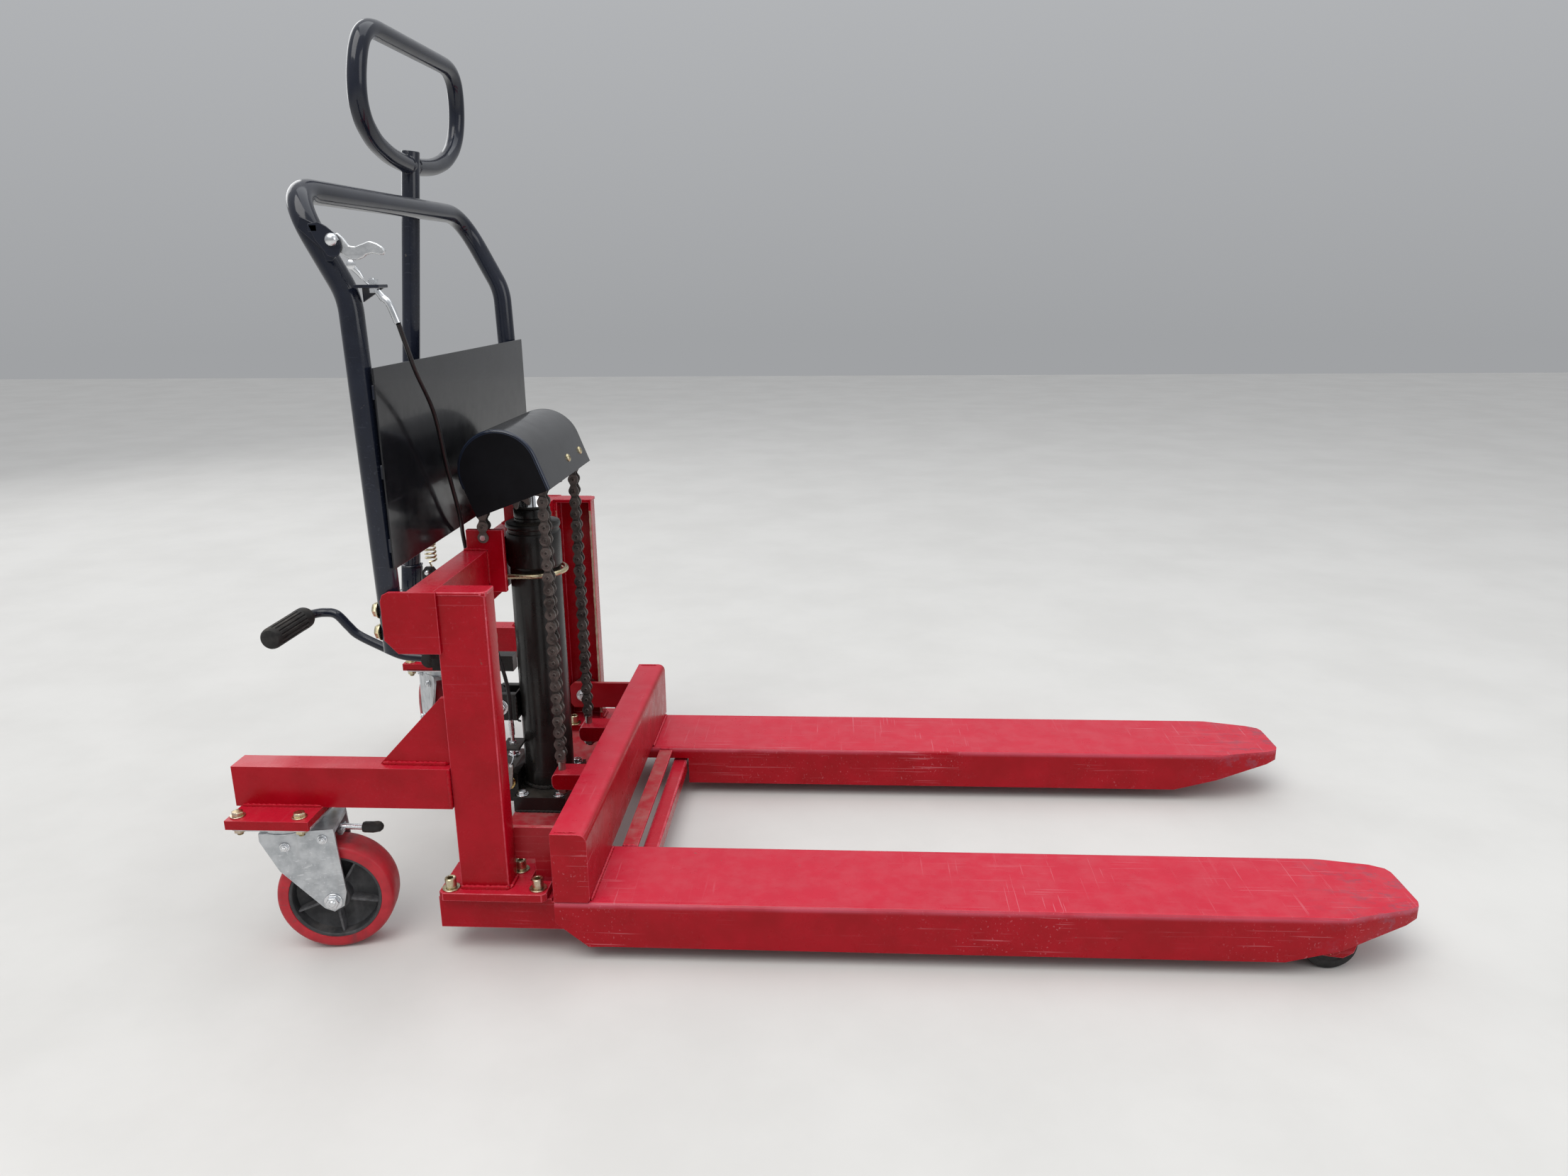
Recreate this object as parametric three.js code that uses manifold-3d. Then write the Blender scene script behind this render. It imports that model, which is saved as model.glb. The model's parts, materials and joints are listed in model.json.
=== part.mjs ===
import * as THREE from "three";
import { mergeVertices } from "three/addons/utils/BufferGeometryUtils.js";
import Module from "manifold-3d";

const wasm = await Module();
wasm.setup();

// Driving dimensions, mm. +X towards the fork tips, +Z up, y = 0 is the plane of symmetry.
const GAP = 0.3;
const FORK = { in: 178, out: 340, top: 89.6, wall: 5, rear: -50, tip: 1127, tipIn: 200, tipOut: 310, taper: 1010, bottom: 22 };
const BAR = { x0: -50, half: 340, z0: 90, z1: 192.5, wall: 6 };
const LEG = { in: 268, out: 327.5, z0: 40, z1: 83, rear: -215, end: 1035 };
const LOAD = { x: 1004, z: 36, r: 36 };
const UPRIGHT = { x0: -182.5, x1: -114.5, in: 289, out: 324, wall: 5, z0: 100.7, z1: 520, cap: 526 };
const BEAM = { x0: -219, x1: -183, half: 324.3, z0: 446, z1: 526 };
const CYL = { x: -140, r: 39.5, collar: 42, gland: 28, z0: 113.3, z1: 480, z2: 550, z3: 572 };
const ROD_R = 22;
const AXLE = { x: -140, z: 637, r: 12 };
const CHAIN = { y: 94, w: 16, front: -94, rear: -186, t: 13.5 };
const COVER = { x: -143, z: 644, c: 0.935, s: 0.353, r: 59.3, u0: -2.2, n0: 6, low: -44, half: 131, wall: 2 };
const FRAME = { r: 15, y: 309, top: 1018 };
const PANEL = { x: -230, t: 2, half: 322, z0: 555, z1: 809 };
const HANDLE = { y: 172, r: 14, x0: -414, z0: 384.3, x1: -343, z1: 1105 };
const PIVOT = { x: -207, z: 249, r: 6 };
const CASTER = { x: -420, y: 309, r: 80, trail: 52, near: 10, far: 127 };
const PLUNGER = { x: -250, y: 18, r: 8, top: 296 };

const V = (x, y, z) => new THREE.Vector3(x, y, z);

function solid(geometry) {
  const flat = geometry.index ? geometry.toNonIndexed() : geometry;
  const bare = new THREE.BufferGeometry().setAttribute("position", flat.getAttribute("position"));
  const merged = mergeVertices(bare, 1e-3);
  const tri = new Uint32Array(merged.index.array);
  const clean = [];
  for (let i = 0; i < tri.length; i += 3)
    if (tri[i] !== tri[i + 1] && tri[i + 1] !== tri[i + 2] && tri[i] !== tri[i + 2]) clean.push(tri[i], tri[i + 1], tri[i + 2]);
  const make = (t) => new wasm.Manifold(new wasm.Mesh({ numProp: 3, vertProperties: new Float32Array(merged.attributes.position.array), triVerts: new Uint32Array(t) }));
  const s = make(clean);
  if (s.volume() >= 0) return s;
  for (let i = 0; i < clean.length; i += 3) [clean[i + 1], clean[i + 2]] = [clean[i + 2], clean[i + 1]];
  return make(clean);
}
const join = (...parts) => wasm.Manifold.union(parts);
const box = (x0, x1, y0, y1, z0, z1) => solid(new THREE.BoxGeometry(Math.abs(x1 - x0), Math.abs(y1 - y0), Math.abs(z1 - z0)).translate((x0 + x1) / 2, (y0 + y1) / 2, (z0 + z1) / 2));
const outline = (pts) => new THREE.Shape(pts.map(([a, b]) => new THREE.Vector2(a, b)));
const prism = (pts, depth) => new THREE.ExtrudeGeometry(outline(pts), { depth, bevelEnabled: false });
const sideways = (pts, y0, y1) => solid(prism(pts, Math.abs(y1 - y0)).rotateX(Math.PI / 2).translate(0, Math.max(y0, y1), 0));
const upright = (pts, z0, z1) => solid(prism(pts, z1 - z0).translate(0, 0, z0));
function rod(a, b, r, seg = 14, r2 = r) {
  const d = b.clone().sub(a), len = d.length();
  const g = new THREE.CylinderGeometry(r2, r, len, seg).translate(0, len / 2, 0);
  g.applyQuaternion(new THREE.Quaternion().setFromUnitVectors(V(0, 1, 0), d.normalize())).translate(a.x, a.y, a.z);
  return solid(g);
}
const spun = (pts, seg, x, y, z) => solid(new THREE.LatheGeometry([...pts, pts[0]].map(([r, a]) => new THREE.Vector2(r, a)), seg).translate(x, y, z));
const turned = (pts, seg, x, y, z) => solid(new THREE.LatheGeometry([...pts, pts[0]].map(([r, a]) => new THREE.Vector2(r, a)), seg).rotateX(Math.PI / 2).translate(x, y, z));

class Route extends THREE.Curve {
  constructor(points) { super(); this.points = points; }
  getPoint(t, target = new THREE.Vector3()) {
    const n = this.points.length - 1, f = Math.min(n, Math.max(0, t * n)), i = Math.min(n - 1, Math.floor(f + 1e-6));
    return target.copy(this.points[i]).lerp(this.points[i + 1], f - i);
  }
  getPointAt(t, target) { return this.getPoint(t, target); }
  getTangent(t, target = new THREE.Vector3()) {
    const p = this.points, n = p.length - 1, i = Math.round(t * n);
    target.set(0, 0, 0);
    if (i > 0) target.add(p[i].clone().sub(p[i - 1]).normalize());
    if (i < n) target.add(p[i + 1].clone().sub(p[i]).normalize());
    return target.normalize();
  }
  getTangentAt(t, target) { return this.getTangent(t, target); }
}
// A tube of radius r through the points, with each inner corner rounded by its own radius.
function tube(points, r, seg = 12, bends = [], steps = 4) {
  const out = [points[0]];
  for (let i = 1; i < points.length - 1; i++) {
    const p = points[i], a = points[i - 1].clone().sub(p), b = points[i + 1].clone().sub(p);
    const R = bends[i - 1] ?? 0;
    if (!R) { out.push(p); continue; }
    const half = a.angleTo(b) / 2, cut = Math.min(R / Math.tan(half), 0.48 * a.length(), 0.48 * b.length());
    const p0 = p.clone().addScaledVector(a.normalize(), cut), p1 = p.clone().addScaledVector(b.normalize(), cut);
    for (let k = 0; k <= steps; k++) {
      const t = k / steps;
      out.push(p0.clone().multiplyScalar((1 - t) ** 2).addScaledVector(p, 2 * t * (1 - t)).addScaledVector(p1, t * t));
    }
  }
  out.push(points[points.length - 1]);
  const ring = [];
  for (let i = 0; i < seg; i++) ring.push([r * Math.cos((2 * Math.PI * i) / seg), r * Math.sin((2 * Math.PI * i) / seg)]);
  return solid(new THREE.ExtrudeGeometry(outline(ring), { steps: out.length - 1, bevelEnabled: false, extrudePath: new Route(out) }));
}
const mirrored = (s) => s.mirror([0, 1, 0]);
const arc = (cx, cz, r, a0, a1, n) => Array.from({ length: n + 1 }, (_, i) => {
  const a = ((a0 + ((a1 - a0) * i) / n) * Math.PI) / 180;
  return [cx + r * Math.cos(a), cz + r * Math.sin(a)];
});

const PAINT = { red: ["#a30f22", 0.28, 0.2], blue: ["#141a28", 0.25, 0.3], black: ["#17181a", 0.4, 0.2], steel: ["#9a9b9c", 0.4, 0.9], chrome: ["#c9ccd0", 0.12, 1], zinc: ["#b29a55", 0.35, 0.9], galvanised: ["#9da1a3", 0.45, 0.9], chain: ["#3a2a20", 0.5, 0.8], rubber: ["#141414", 0.8, 0], tyre: ["#8c1d26", 0.6, 0], alloy: ["#b9bcc0", 0.35, 0.9] };
const nodes = [];
function add(name, s, paint) { nodes.push([name, s, paint]); }

// One side of each mirrored pair is shaped for +y; the other is its mirror image.
function pair(name, s, paint) { add(name + "_far", s, paint); add(name + "_near", mirrored(s), paint); }

// Straddle legs: a box rail in two heights, and two cheeks that hold the load roller.
const cheek = (y0, y1) => sideways([[900, 44], [1000, 24], [1018, 22], [LEG.end - 4, 30], [LEG.end, 44], [LEG.end - 6, 70], [1000, 80], [900, 80]], y0, y1);
const leg = join(
  box(LEG.rear, 930, LEG.in, LEG.out, LEG.z0, LEG.z1),
  box(LEG.rear, -56, LEG.in, LEG.out, 60, 87.7),
  cheek(LEG.in, LEG.in + 7), cheek(LEG.out - 7, LEG.out),
  rod(V(LOAD.x, LEG.in + 1, LOAD.z), V(LOAD.x, LEG.out + 4, LOAD.z), 8, 12),
);
pair("chassis_leg", leg, "red");
add("cross_tube", box(36, 61, -LEG.in + GAP, LEG.in - GAP, 40, 65), "red");
add("deck_plate", box(-182, -60, -LEG.in + GAP, LEG.in - GAP, 78, 87.7), "red");
const wheelWidth = (LEG.out - LEG.in) / 2 - 7 - 1.2;
pair("load_roller", spun([[8.3, -wheelWidth], [LOAD.r - 2, -wheelWidth], [LOAD.r, -wheelWidth + 2], [LOAD.r, wheelWidth - 2], [LOAD.r - 2, wheelWidth], [8.3, wheelWidth]], 28, LOAD.x, (LEG.in + LEG.out) / 2, LOAD.z), "rubber");

// Uprights: a C channel that opens inwards, with a welded cap and a two-part base plate.
const U = UPRIGHT;
const channel = upright([[U.x0, U.in], [U.x0 + U.wall, U.in], [U.x0 + U.wall, U.out - U.wall], [U.x1 - U.wall, U.out - U.wall], [U.x1 - U.wall, U.in], [U.x1, U.in], [U.x1, U.out - 8], [U.x1 - 2.4, U.out - 2.4], [U.x1 - 8, U.out], [U.x0, U.out]], 95, U.z1 + 1);
pair("upright", join(channel, box(U.x0, U.x1, U.in, U.out, U.z1, U.cap), upright([[-211, 254], [-92, 254], [-92, 302], [-61, 302], [-61, 334], [-67, 340], [-205, 340], [-211, 334]], 88.3, 100.4)), "red");

// Top crossbeam with its side plates and the spacers that carry the handle frame.
const sidePlate = sideways([[-251, 462], [-234, 443.5], [-178, 443.5], [-178, 527], [-240, 527], [-248, 523], [-251, 515]], BEAM.half, BEAM.half + 5);
const spacer = (z) => rod(V(BEAM.x0 + 1, FRAME.y, z), V(-230, FRAME.y, z), 9, 10);
add("top_crossbeam", join(box(BEAM.x0, BEAM.x1, -BEAM.half - 1, BEAM.half + 1, BEAM.z0, BEAM.z1), sidePlate, mirrored(sidePlate), spacer(468), spacer(498), mirrored(spacer(468)), mirrored(spacer(498))), "red");
pair("chain_anchor", sideways([[-213, 526.4], [BEAM.x1 + GAP, 526.4], [BEAM.x1 + GAP, 462], [-158, 462], [-158, 557], [-213, 557]], CHAIN.y - 5, CHAIN.y + 5), "red");
pair("outrigger", join(
  box(-484, U.x0 - 0.5, 290, 328, 221.5, 280),
  sideways([[U.x0 - 0.5, 279], [U.x0 - 0.5, 376], [-192, 376], [-284, 279]], 304, 312),
  box(-477, -363, 245, 373, 209, 222),
), "red");

// Handle frame, front panel and U-bolt.
const F = FRAME;
add("handle_frame", tube([V(-245.5, -F.y, 442), V(-252.5, -F.y, 773), V(-255, -F.y, 893), V(-318, -F.y, F.top), V(-318, F.y, F.top), V(-255, F.y, 893), V(-252.5, F.y, 773), V(-245.5, F.y, 442)], F.r, 14, [0, 90, 70, 70, 90, 0]), "blue");
add("front_panel", join(box(PANEL.x - PANEL.t, PANEL.x, -PANEL.half, PANEL.half, PANEL.z0, PANEL.z1), box(-318, PANEL.x - 1, -8, 8, 604.5, 608.5), box(-238, PANEL.x - 1, -8, 8, 590, 608.5)), "black");
const ub = 46.6;
add("u_bolt", tube([V(BEAM.x1 + 0.5, -ub, 472), V(CYL.x, -ub, 472), ...[-60, -30, 0, 30, 60].map((a) => V(CYL.x + ub * Math.cos(a * Math.PI / 180), ub * Math.sin(a * Math.PI / 180), 472)), V(CYL.x, ub, 472), V(BEAM.x1 + 0.5, ub, 472)], 4, 8), "zinc");

// Lift cylinder, pump base, clevis and plunger.
const C = CYL;
add("cylinder", turned([[0, C.z0], [C.r, C.z0], [C.r, C.z1], [C.collar, C.z1 + 2], [C.collar, 534], [C.collar - 2, 536], [C.collar - 2, 540], [C.collar, 542], [C.collar, C.z2], [C.gland, C.z2 + 2], [C.gland, C.z3], [ROD_R + 0.6, C.z3], [ROD_R + 0.6, 300], [0, 300]], 32, C.x, 0, 0), "black");
const barrel = rod(V(-252, PLUNGER.y, 120), V(-252, PLUNGER.y, 240), 16, 18);
const bore = rod(V(PLUNGER.x, PLUNGER.y, 150), V(PLUNGER.x, PLUNGER.y, 260), PLUNGER.r + 0.4, 16);
add("pump_base", join(box(-182, -98, -74, 74, 88.1, 113), sideways([[-181.5, 92], [-181.5, 140], [-190, 145], [-290, 145], [-300, 136], [-300, 100], [-292, 92]], -45, 45), barrel).subtract(bore), "black");
const shell = rod(V(C.x, 0, 100), V(C.x, 0, 500), C.r + GAP, 32);
const ear = (y0, y1) => sideways([[-160, 226], [-214, 226], [-226, 236], [-226, 262], [-216, 271], [-160, 271]], y0, y1);
add("pump_clevis", join(ear(-28, -16), ear(14, 26), box(-182.5, -160, -28, 26, 226, 271)).subtract(shell).subtract(box(-179.6, -100, -60, 60, 200, 300)).add(rod(V(PIVOT.x, -36, PIVOT.z), V(PIVOT.x, 32, PIVOT.z), PIVOT.r, 12)), "black");
add("plunger", rod(V(PLUNGER.x, PLUNGER.y, 172), V(PLUNGER.x, PLUNGER.y, PLUNGER.top), PLUNGER.r, 16), "chrome");

// Release gear.
add("release_valve", join(rod(V(-196, -45.3, 128), V(-196, -56.5, 128), 8, 14), rod(V(-196, -45.3, 128), V(-196, -49, 128), 11, 6)), "zinc");
add("valve_lever", sideways([[-203, 122], [-190, 120], [-186, 128], [-182, 163], [-190, 166], [-196, 140], [-204, 134]], -61, -57), "steel");
add("cable_plate", box(-200, -160, -64, -20, 189, 193).subtract(shell).subtract(box(-170, -100, -70, 70, 180, 200)), "black");
add("cable_bracket", join(box(-240, -209, -330, -302, 903, 907), sideways([[-240, 886], [-212, 903.5], [-240, 903.5]], -306, -302)), "blue");
add("lever_bracket", sideways([[-296, 985], [-276, 975], [-262, 966], [-250, 962], [-250, 951], [-262, 934], [-270, 934], [-274, 948], [-300, 972]], -328.5, -324.6), "blue");
add("release_lever", sideways([[-263, 966], [-250, 968], [-220, 962], [-200, 951], [-197, 944], [-203, 940], [-222, 952], [-240, 950], [-236, 934], [-228, 923], [-236, 918], [-246, 930], [-254, 947], [-264, 954]], -335, -329), "alloy");
const route = [V(-211, -322, 896), V(-201, -323, 884), V(-193, -322, 860), V(-195, -275, 800), V(-203, -205, 740), V(-212, -152, 660), V(-217, -104, 580), V(-223.5, -80, 545), V(-224.5, -64, 495), V(-224, -62, 438), V(-205, -60, 394), V(-192, -54, 337), V(-185, -48, 287), V(-184, -47, 196)];
add("release_cable", tube(new THREE.CatmullRomCurve3(route).getPoints(30), 3, 6), "rubber");
add("return_spring", turned([[4, 476], [6, 476], [9.5, 480], [9.5, 598], [6, 602], [4, 602]], 14, -308, 3, 0), "zinc");

// Ram: rod, head, axle and chain cover.
add("piston_rod", rod(V(C.x, 0, 305), V(C.x, 0, 611.7), ROD_R, 28), "chrome");
const axle = (r, half) => rod(V(AXLE.x, -half, AXLE.z), V(AXLE.x, half, AXLE.z), r, 18);
add("rod_head", box(C.x - 25, C.x + 25, -22, 22, 612, 662).subtract(axle(AXLE.r + 0.4, 40)), "black");
add("sprocket_axle", axle(AXLE.r, 127), "steel");
const K = COVER;
const tilt = ([u, n]) => [K.x + K.c * u - K.s * n, K.z + K.s * u + K.c * n];
const arch = (r, low) => [[K.u0 + r, low], ...arc(K.u0, K.n0, r, 0, 180, 14), [K.u0 - r, low]].map(tilt);
add("chain_cover", sideways(arch(K.r, K.low), -K.half, K.half)
  .subtract(sideways(arch(K.r - K.wall, K.low - 20), -K.half + K.wall, K.half - K.wall))
  .subtract(sideways([[-90, K.low - 20], [-50, K.low - 20], [-50, 0], [-90, 0]].map(tilt), -K.half + K.wall, K.half - K.wall)), "black");
pair("sprocket", spun([[AXLE.r + 0.4, -16], [22, -16], [22, -4], [38.3, -4], [38.3, 4], [22, 4], [22, 16], [AXLE.r + 0.4, 16]], 30, AXLE.x, CHAIN.y, AXLE.z), "steel");
const half = CHAIN.w / 2, t = CHAIN.t / 2, R = 46;
pair("chain_front", sideways([[CHAIN.front - t, 186.5], [CHAIN.front + t, 186.5], ...arc(AXLE.x, AXLE.z, R + t, 0, 145, 10), ...arc(AXLE.x, AXLE.z, R - t, 145, 0, 10)], CHAIN.y - half, CHAIN.y + half), "chain");
pair("chain_rear", box(CHAIN.rear - t, CHAIN.rear + t, CHAIN.y - half, CHAIN.y + half, 557.5, 654), "chain");

// Carriage: bar, forks, strip, lugs, brackets and rollers.
const B = BAR;
const bar = sideways([[B.x0, B.z0], [-4, B.z0], [0, B.z0 + 4], ...arc(-12, B.z1 - 12, 12, 0, 90, 4), [B.x0, B.z1], [B.x0, B.z1 - B.wall], [-14, B.z1 - B.wall], [-B.wall, B.z1 - 14], [-B.wall, B.z0 + B.wall], [B.x0, B.z0 + B.wall]], -B.half, B.half);
const endCap = sideways([[B.x0, B.z0], [-4, B.z0], [0, B.z0 + 4], ...arc(-12, B.z1 - 12, 12, 0, 90, 4), [B.x0, B.z1]], B.half - 6, B.half);
add("carriage_bar", join(bar, endCap, mirrored(endCap)), "red");
const P = FORK;
const plan = (d, rear) => [[rear, P.in + d], [P.taper, P.in + d], [P.tip - 26 - d, P.tipIn - 4 + d], [P.tip - 8 - d, P.tipIn + 6 + d], [P.tip - d, P.tipIn + 26], [P.tip - d, P.tipOut - 26], [P.tip - 8 - d, P.tipOut - 6 - d], [P.tip - 26 - d, P.tipOut + 4 - d], [P.taper, P.out - d], [rear, P.out - d]];
const side = [[P.rear, P.top], [P.rear, 57.5], [-5, 21], [20, P.bottom], [937, P.bottom], [P.tip - 4, 71.5], [P.tip, 75], [P.tip, 86], [P.tip - 4, P.top]];
const soft = (y, z, r, sy) => [[y + sy * 0, z - r], [y + sy * r * 0.13, z - r * 0.5], [y + sy * r * 0.5, z - r * 0.13], [y + sy * r, z]];
const section = solid(new THREE.ExtrudeGeometry(outline([[P.in, 0], ...soft(P.in, P.top, 6, 1), ...soft(P.out, P.top, 6, -1).reverse(), [P.out, 0]]), { depth: 1300, bevelEnabled: false }).applyMatrix4(new THREE.Matrix4().makeBasis(V(0, 1, 0), V(0, 0, 1), V(1, 0, 0))).translate(-100, 0, 0));
const fork = sideways(side, P.in, P.out).intersect(upright(plan(0, P.rear), 0, 200)).intersect(section)
  .subtract(upright(plan(P.wall, P.rear - 20), -10, P.top - P.wall))
  .subtract(box(P.rear - 20, 64.5, P.in - 10, P.in + P.wall + 1, -10, 70))
  .subtract(box(P.rear - 20, 0.4, P.in - 10, P.out + 10, P.top - 0.3, P.top + 20));
pair("fork", fork, "red");
add("cross_strip", box(12, 36, -P.in + 0.5, P.in - 0.5, 82, 87), "red");
pair("chain_lug", join(
  sideways([[-107, 152], [-101, 146], [-B.wall - 0.4, 146], [-B.wall - 0.4, 173], [-101, 173], [-107, 167]], 72, 114),
  rod(V(CHAIN.front, CHAIN.y, 172), V(CHAIN.front, CHAIN.y, 186), 6, 12), rod(V(CHAIN.front, CHAIN.y, 134), V(CHAIN.front, CHAIN.y, 147), 10, 6),
), "red");
pair("roller_bracket", join(
  sideways([[-B.wall - 0.4, 97], [-88, 97], [-88, 126], [-166, 126], [-172, 134], [-172, 168], [-164, 175], [-B.wall - 0.4, 175]], 280, 288.6),
  rod(V(-148.5, 281, 150), V(-148.5, 316, 150), 8, 14),
), "red");
pair("guide_roller", spun([[8.4, -11.5], [23.5, -11.5], [25.5, -9.5], [25.5, 9.5], [23.5, 11.5], [8.4, 11.5]], 24, -148.5, 302.5, 150), "steel");

// Rocker: arm on the pivot, bar over the plunger, cross tube, handle bracket and spring tab.
const arm = sideways([[-218, 240], [-207, 235], [-195, 243], [-194, 255], [-240, 312], [-270, 326], [-270, 312], [-262, 299]], -13, 4);
add("rocker", join(
  arm,
  box(-324, -190, 3, 27, 299, 325),
  rod(V(-330, 6, 315), V(-330, 190, 315), 13, 16),
  sideways([[-326, 326], [-322, 304], [-340, 303], [-392, 356], [-436, 370], [-436, 377.6], [-392, 377.6], [-374, 372]], 160, 184),
  box(-436, -392, 150, 194, 371, 377.6),
  sideways([[-324, 320], [-302, 320], [-302, 468], [-306, 474], [-318, 474], [-324, 466]], 0, 6),
).subtract(rod(V(PIVOT.x, -40, PIVOT.z), V(PIVOT.x, 40, PIVOT.z), PIVOT.r + 0.4, 16)), "black");

// Pump handle: tube, socket, flange and D loop in one leaning plane.
const H = HANDLE, lean = (H.x1 - H.x0) / (H.z1 - 380);
const along = (z) => H.x1 + lean * (z - H.z1);
const loopPoint = ([y, w]) => V(along(1102 + w), H.y + 8 + y, 1102 + w);
const halfLoop = [[0, -16], [90, -9], [145, 5], [182, 27], [202, 56], [206, 90], [197, 124], [170, 148], [130, 154], [0, 154]];
const loopRight = tube(halfLoop.map(loopPoint), H.r, 12), loopLeft = tube(halfLoop.map(([y, w]) => loopPoint([-y, w])), H.r, 12);
add("pump_handle", join(
  rod(V(along(382), H.y, 382), V(along(1108), H.y, 1108), H.r, 16),
  rod(V(along(383), H.y, 383), V(along(432), H.y, 432), 18, 16),
  box(-438, -390, 149, 195, 378, 384),
  loopRight, loopLeft,
), "blue");
add("pedal_bar", tube([V(-521, -118, 391), V(-521, 4, 391), V(-500, 18, 392), V(-482, 18, 391), V(-451, 18, 358), V(-409, 18, 334), V(-378, 18, 320), V(-343.6, 18, 316)], 7.5, 10), "blue");
add("pedal_grip", spun([[7.9, -59], [16, -59], [17.5, -57], [17.5, 57], [16, 59], [7.9, 59]], 20, -521, -61, 391), "rubber");

// Swivel casters, shaped with the trail along +x from the swivel axis.
const K2 = CASTER;
const plate = (y0, y1) => sideways([[-34, 190], [-34, 178], [-13, 132], [40, 70], [52, 64], [66, 72], [71, 93], [64, 190]], y0, y1);
const casterFork = join(rod(V(0, 0, 188), V(0, 0, 208.6), 40, 24), box(-34, 64, -34, 34, 182, 190), plate(-34, -30), plate(30, 34), rod(V(K2.trail, -40, K2.r), V(K2.trail, 40, K2.r), 6, 12));
const casterWheel = spun([[6.4, -27], [16, -27], [18, -21], [52, -21], [60, -25], [73, -25], [78.6, -20], [K2.r, -10], [K2.r, 10], [78.6, 20], [73, 25], [60, 25], [52, 21], [18, 21], [16, 27], [6.4, 27]], 32, K2.trail, 0, K2.r);
const brake = sideways([[66, 170], [96, 168], [118, 166], [122, 170], [122, 182], [114, 183], [96, 179], [66, 179]], -13, 13);
const put = (s, deg, y) => s.rotate([0, 0, deg]).translate([K2.x, y, 0]);
for (const [tag, deg, y] of [["near", K2.near, -K2.y], ["far", K2.far, K2.y]]) {
  add("caster_fork_" + tag, put(casterFork, deg, y), "galvanised");
  add("caster_wheel_" + tag, put(casterWheel, deg, y), "tyre");
  add("caster_brake_" + tag, put(brake, deg, y), "black");
}

// The origin is the middle of the bounding box's base.
const lo = [1e9, 1e9, 1e9], hi = [-1e9, -1e9, -1e9];
for (const [, s] of nodes) {
  const b = s.boundingBox();
  for (let i = 0; i < 3; i++) { lo[i] = Math.min(lo[i], b.min[i]); hi[i] = Math.max(hi[i], b.max[i]); }
}
const shift = [-(lo[0] + hi[0]) / 2, -(lo[1] + hi[1]) / 2, -lo[2]];
const root = new THREE.Group();
root.name = "pallet_jack";
for (const [name, s, paint] of nodes) {
  const m = s.translate(shift).getMesh(), n = m.numProp;
  const pos = new Float32Array(m.numVert * 3);
  for (let i = 0; i < m.numVert; i++) pos.set(m.vertProperties.subarray(i * n, i * n + 3), i * 3);
  const g = new THREE.BufferGeometry().setAttribute("position", new THREE.BufferAttribute(pos, 3)).setIndex(new THREE.BufferAttribute(m.triVerts, 1));
  g.computeVertexNormals();
  const [color, roughness, metalness] = PAINT[paint];
  const mesh = new THREE.Mesh(g, new THREE.MeshStandardMaterial({ color, roughness, metalness, flatShading: true }));
  mesh.name = name;
  root.add(mesh);
}
export default root;
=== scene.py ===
import bpy, bmesh, math, random
import numpy as np
from mathutils import Vector, Matrix
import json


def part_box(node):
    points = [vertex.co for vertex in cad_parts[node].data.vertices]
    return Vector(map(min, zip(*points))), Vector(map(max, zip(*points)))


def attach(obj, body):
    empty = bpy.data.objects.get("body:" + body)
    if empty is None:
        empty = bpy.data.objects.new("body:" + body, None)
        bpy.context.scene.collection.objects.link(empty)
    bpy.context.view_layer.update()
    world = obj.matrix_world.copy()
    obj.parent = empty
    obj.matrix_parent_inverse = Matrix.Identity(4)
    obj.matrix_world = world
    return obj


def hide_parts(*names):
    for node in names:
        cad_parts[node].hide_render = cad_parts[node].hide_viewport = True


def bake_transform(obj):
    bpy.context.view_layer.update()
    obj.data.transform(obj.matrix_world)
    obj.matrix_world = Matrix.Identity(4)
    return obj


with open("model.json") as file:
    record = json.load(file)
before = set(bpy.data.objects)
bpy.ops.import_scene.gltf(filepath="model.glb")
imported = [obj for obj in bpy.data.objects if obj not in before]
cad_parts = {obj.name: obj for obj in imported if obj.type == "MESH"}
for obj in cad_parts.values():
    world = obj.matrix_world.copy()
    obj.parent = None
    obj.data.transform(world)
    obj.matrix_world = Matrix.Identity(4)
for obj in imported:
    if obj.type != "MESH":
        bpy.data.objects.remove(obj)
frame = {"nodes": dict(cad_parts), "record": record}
NODES = frame["nodes"]
random.seed(7)
lo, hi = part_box("carriage_bar")
OX, OY, OZ = hi.x, (lo.y + hi.y) / 2, lo.z - 0.090
BODY = {n: b for b, ns in frame["record"]["behaviour"]["bodies"].items() for n in ns}


def W(x, y, z):
    return Vector((x / 1000 + OX, y / 1000 + OY, z / 1000 + OZ))


# ---------------------------------------------------------------- camera, floor and light
def camera():
    yaw, pit, rol = (math.radians(a) for a in (3.1298, 15.742, -0.519))
    fwd = Vector((-math.sin(yaw) * math.cos(pit), math.cos(yaw) * math.cos(pit), -math.sin(pit)))
    right = Vector((math.cos(yaw), math.sin(yaw), 0))
    up = right.cross(fwd)
    R = math.cos(rol) * right + math.sin(rol) * up
    U = -math.sin(rol) * right + math.cos(rol) * up
    cam = bpy.data.objects.new("camera", bpy.data.cameras.new("camera"))
    cam.data.lens, cam.data.sensor_width, cam.data.sensor_fit = 25.358, 36, "HORIZONTAL"
    cam.data.clip_start, cam.data.clip_end = 0.05, 100
    m = Matrix((R, U, -fwd)).transposed().to_4x4()
    m.translation = W(341.77, -1660.21, 911.72)
    cam.matrix_world = m
    bpy.context.scene.collection.objects.link(cam)
    bpy.context.scene.camera = cam


camera()


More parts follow.
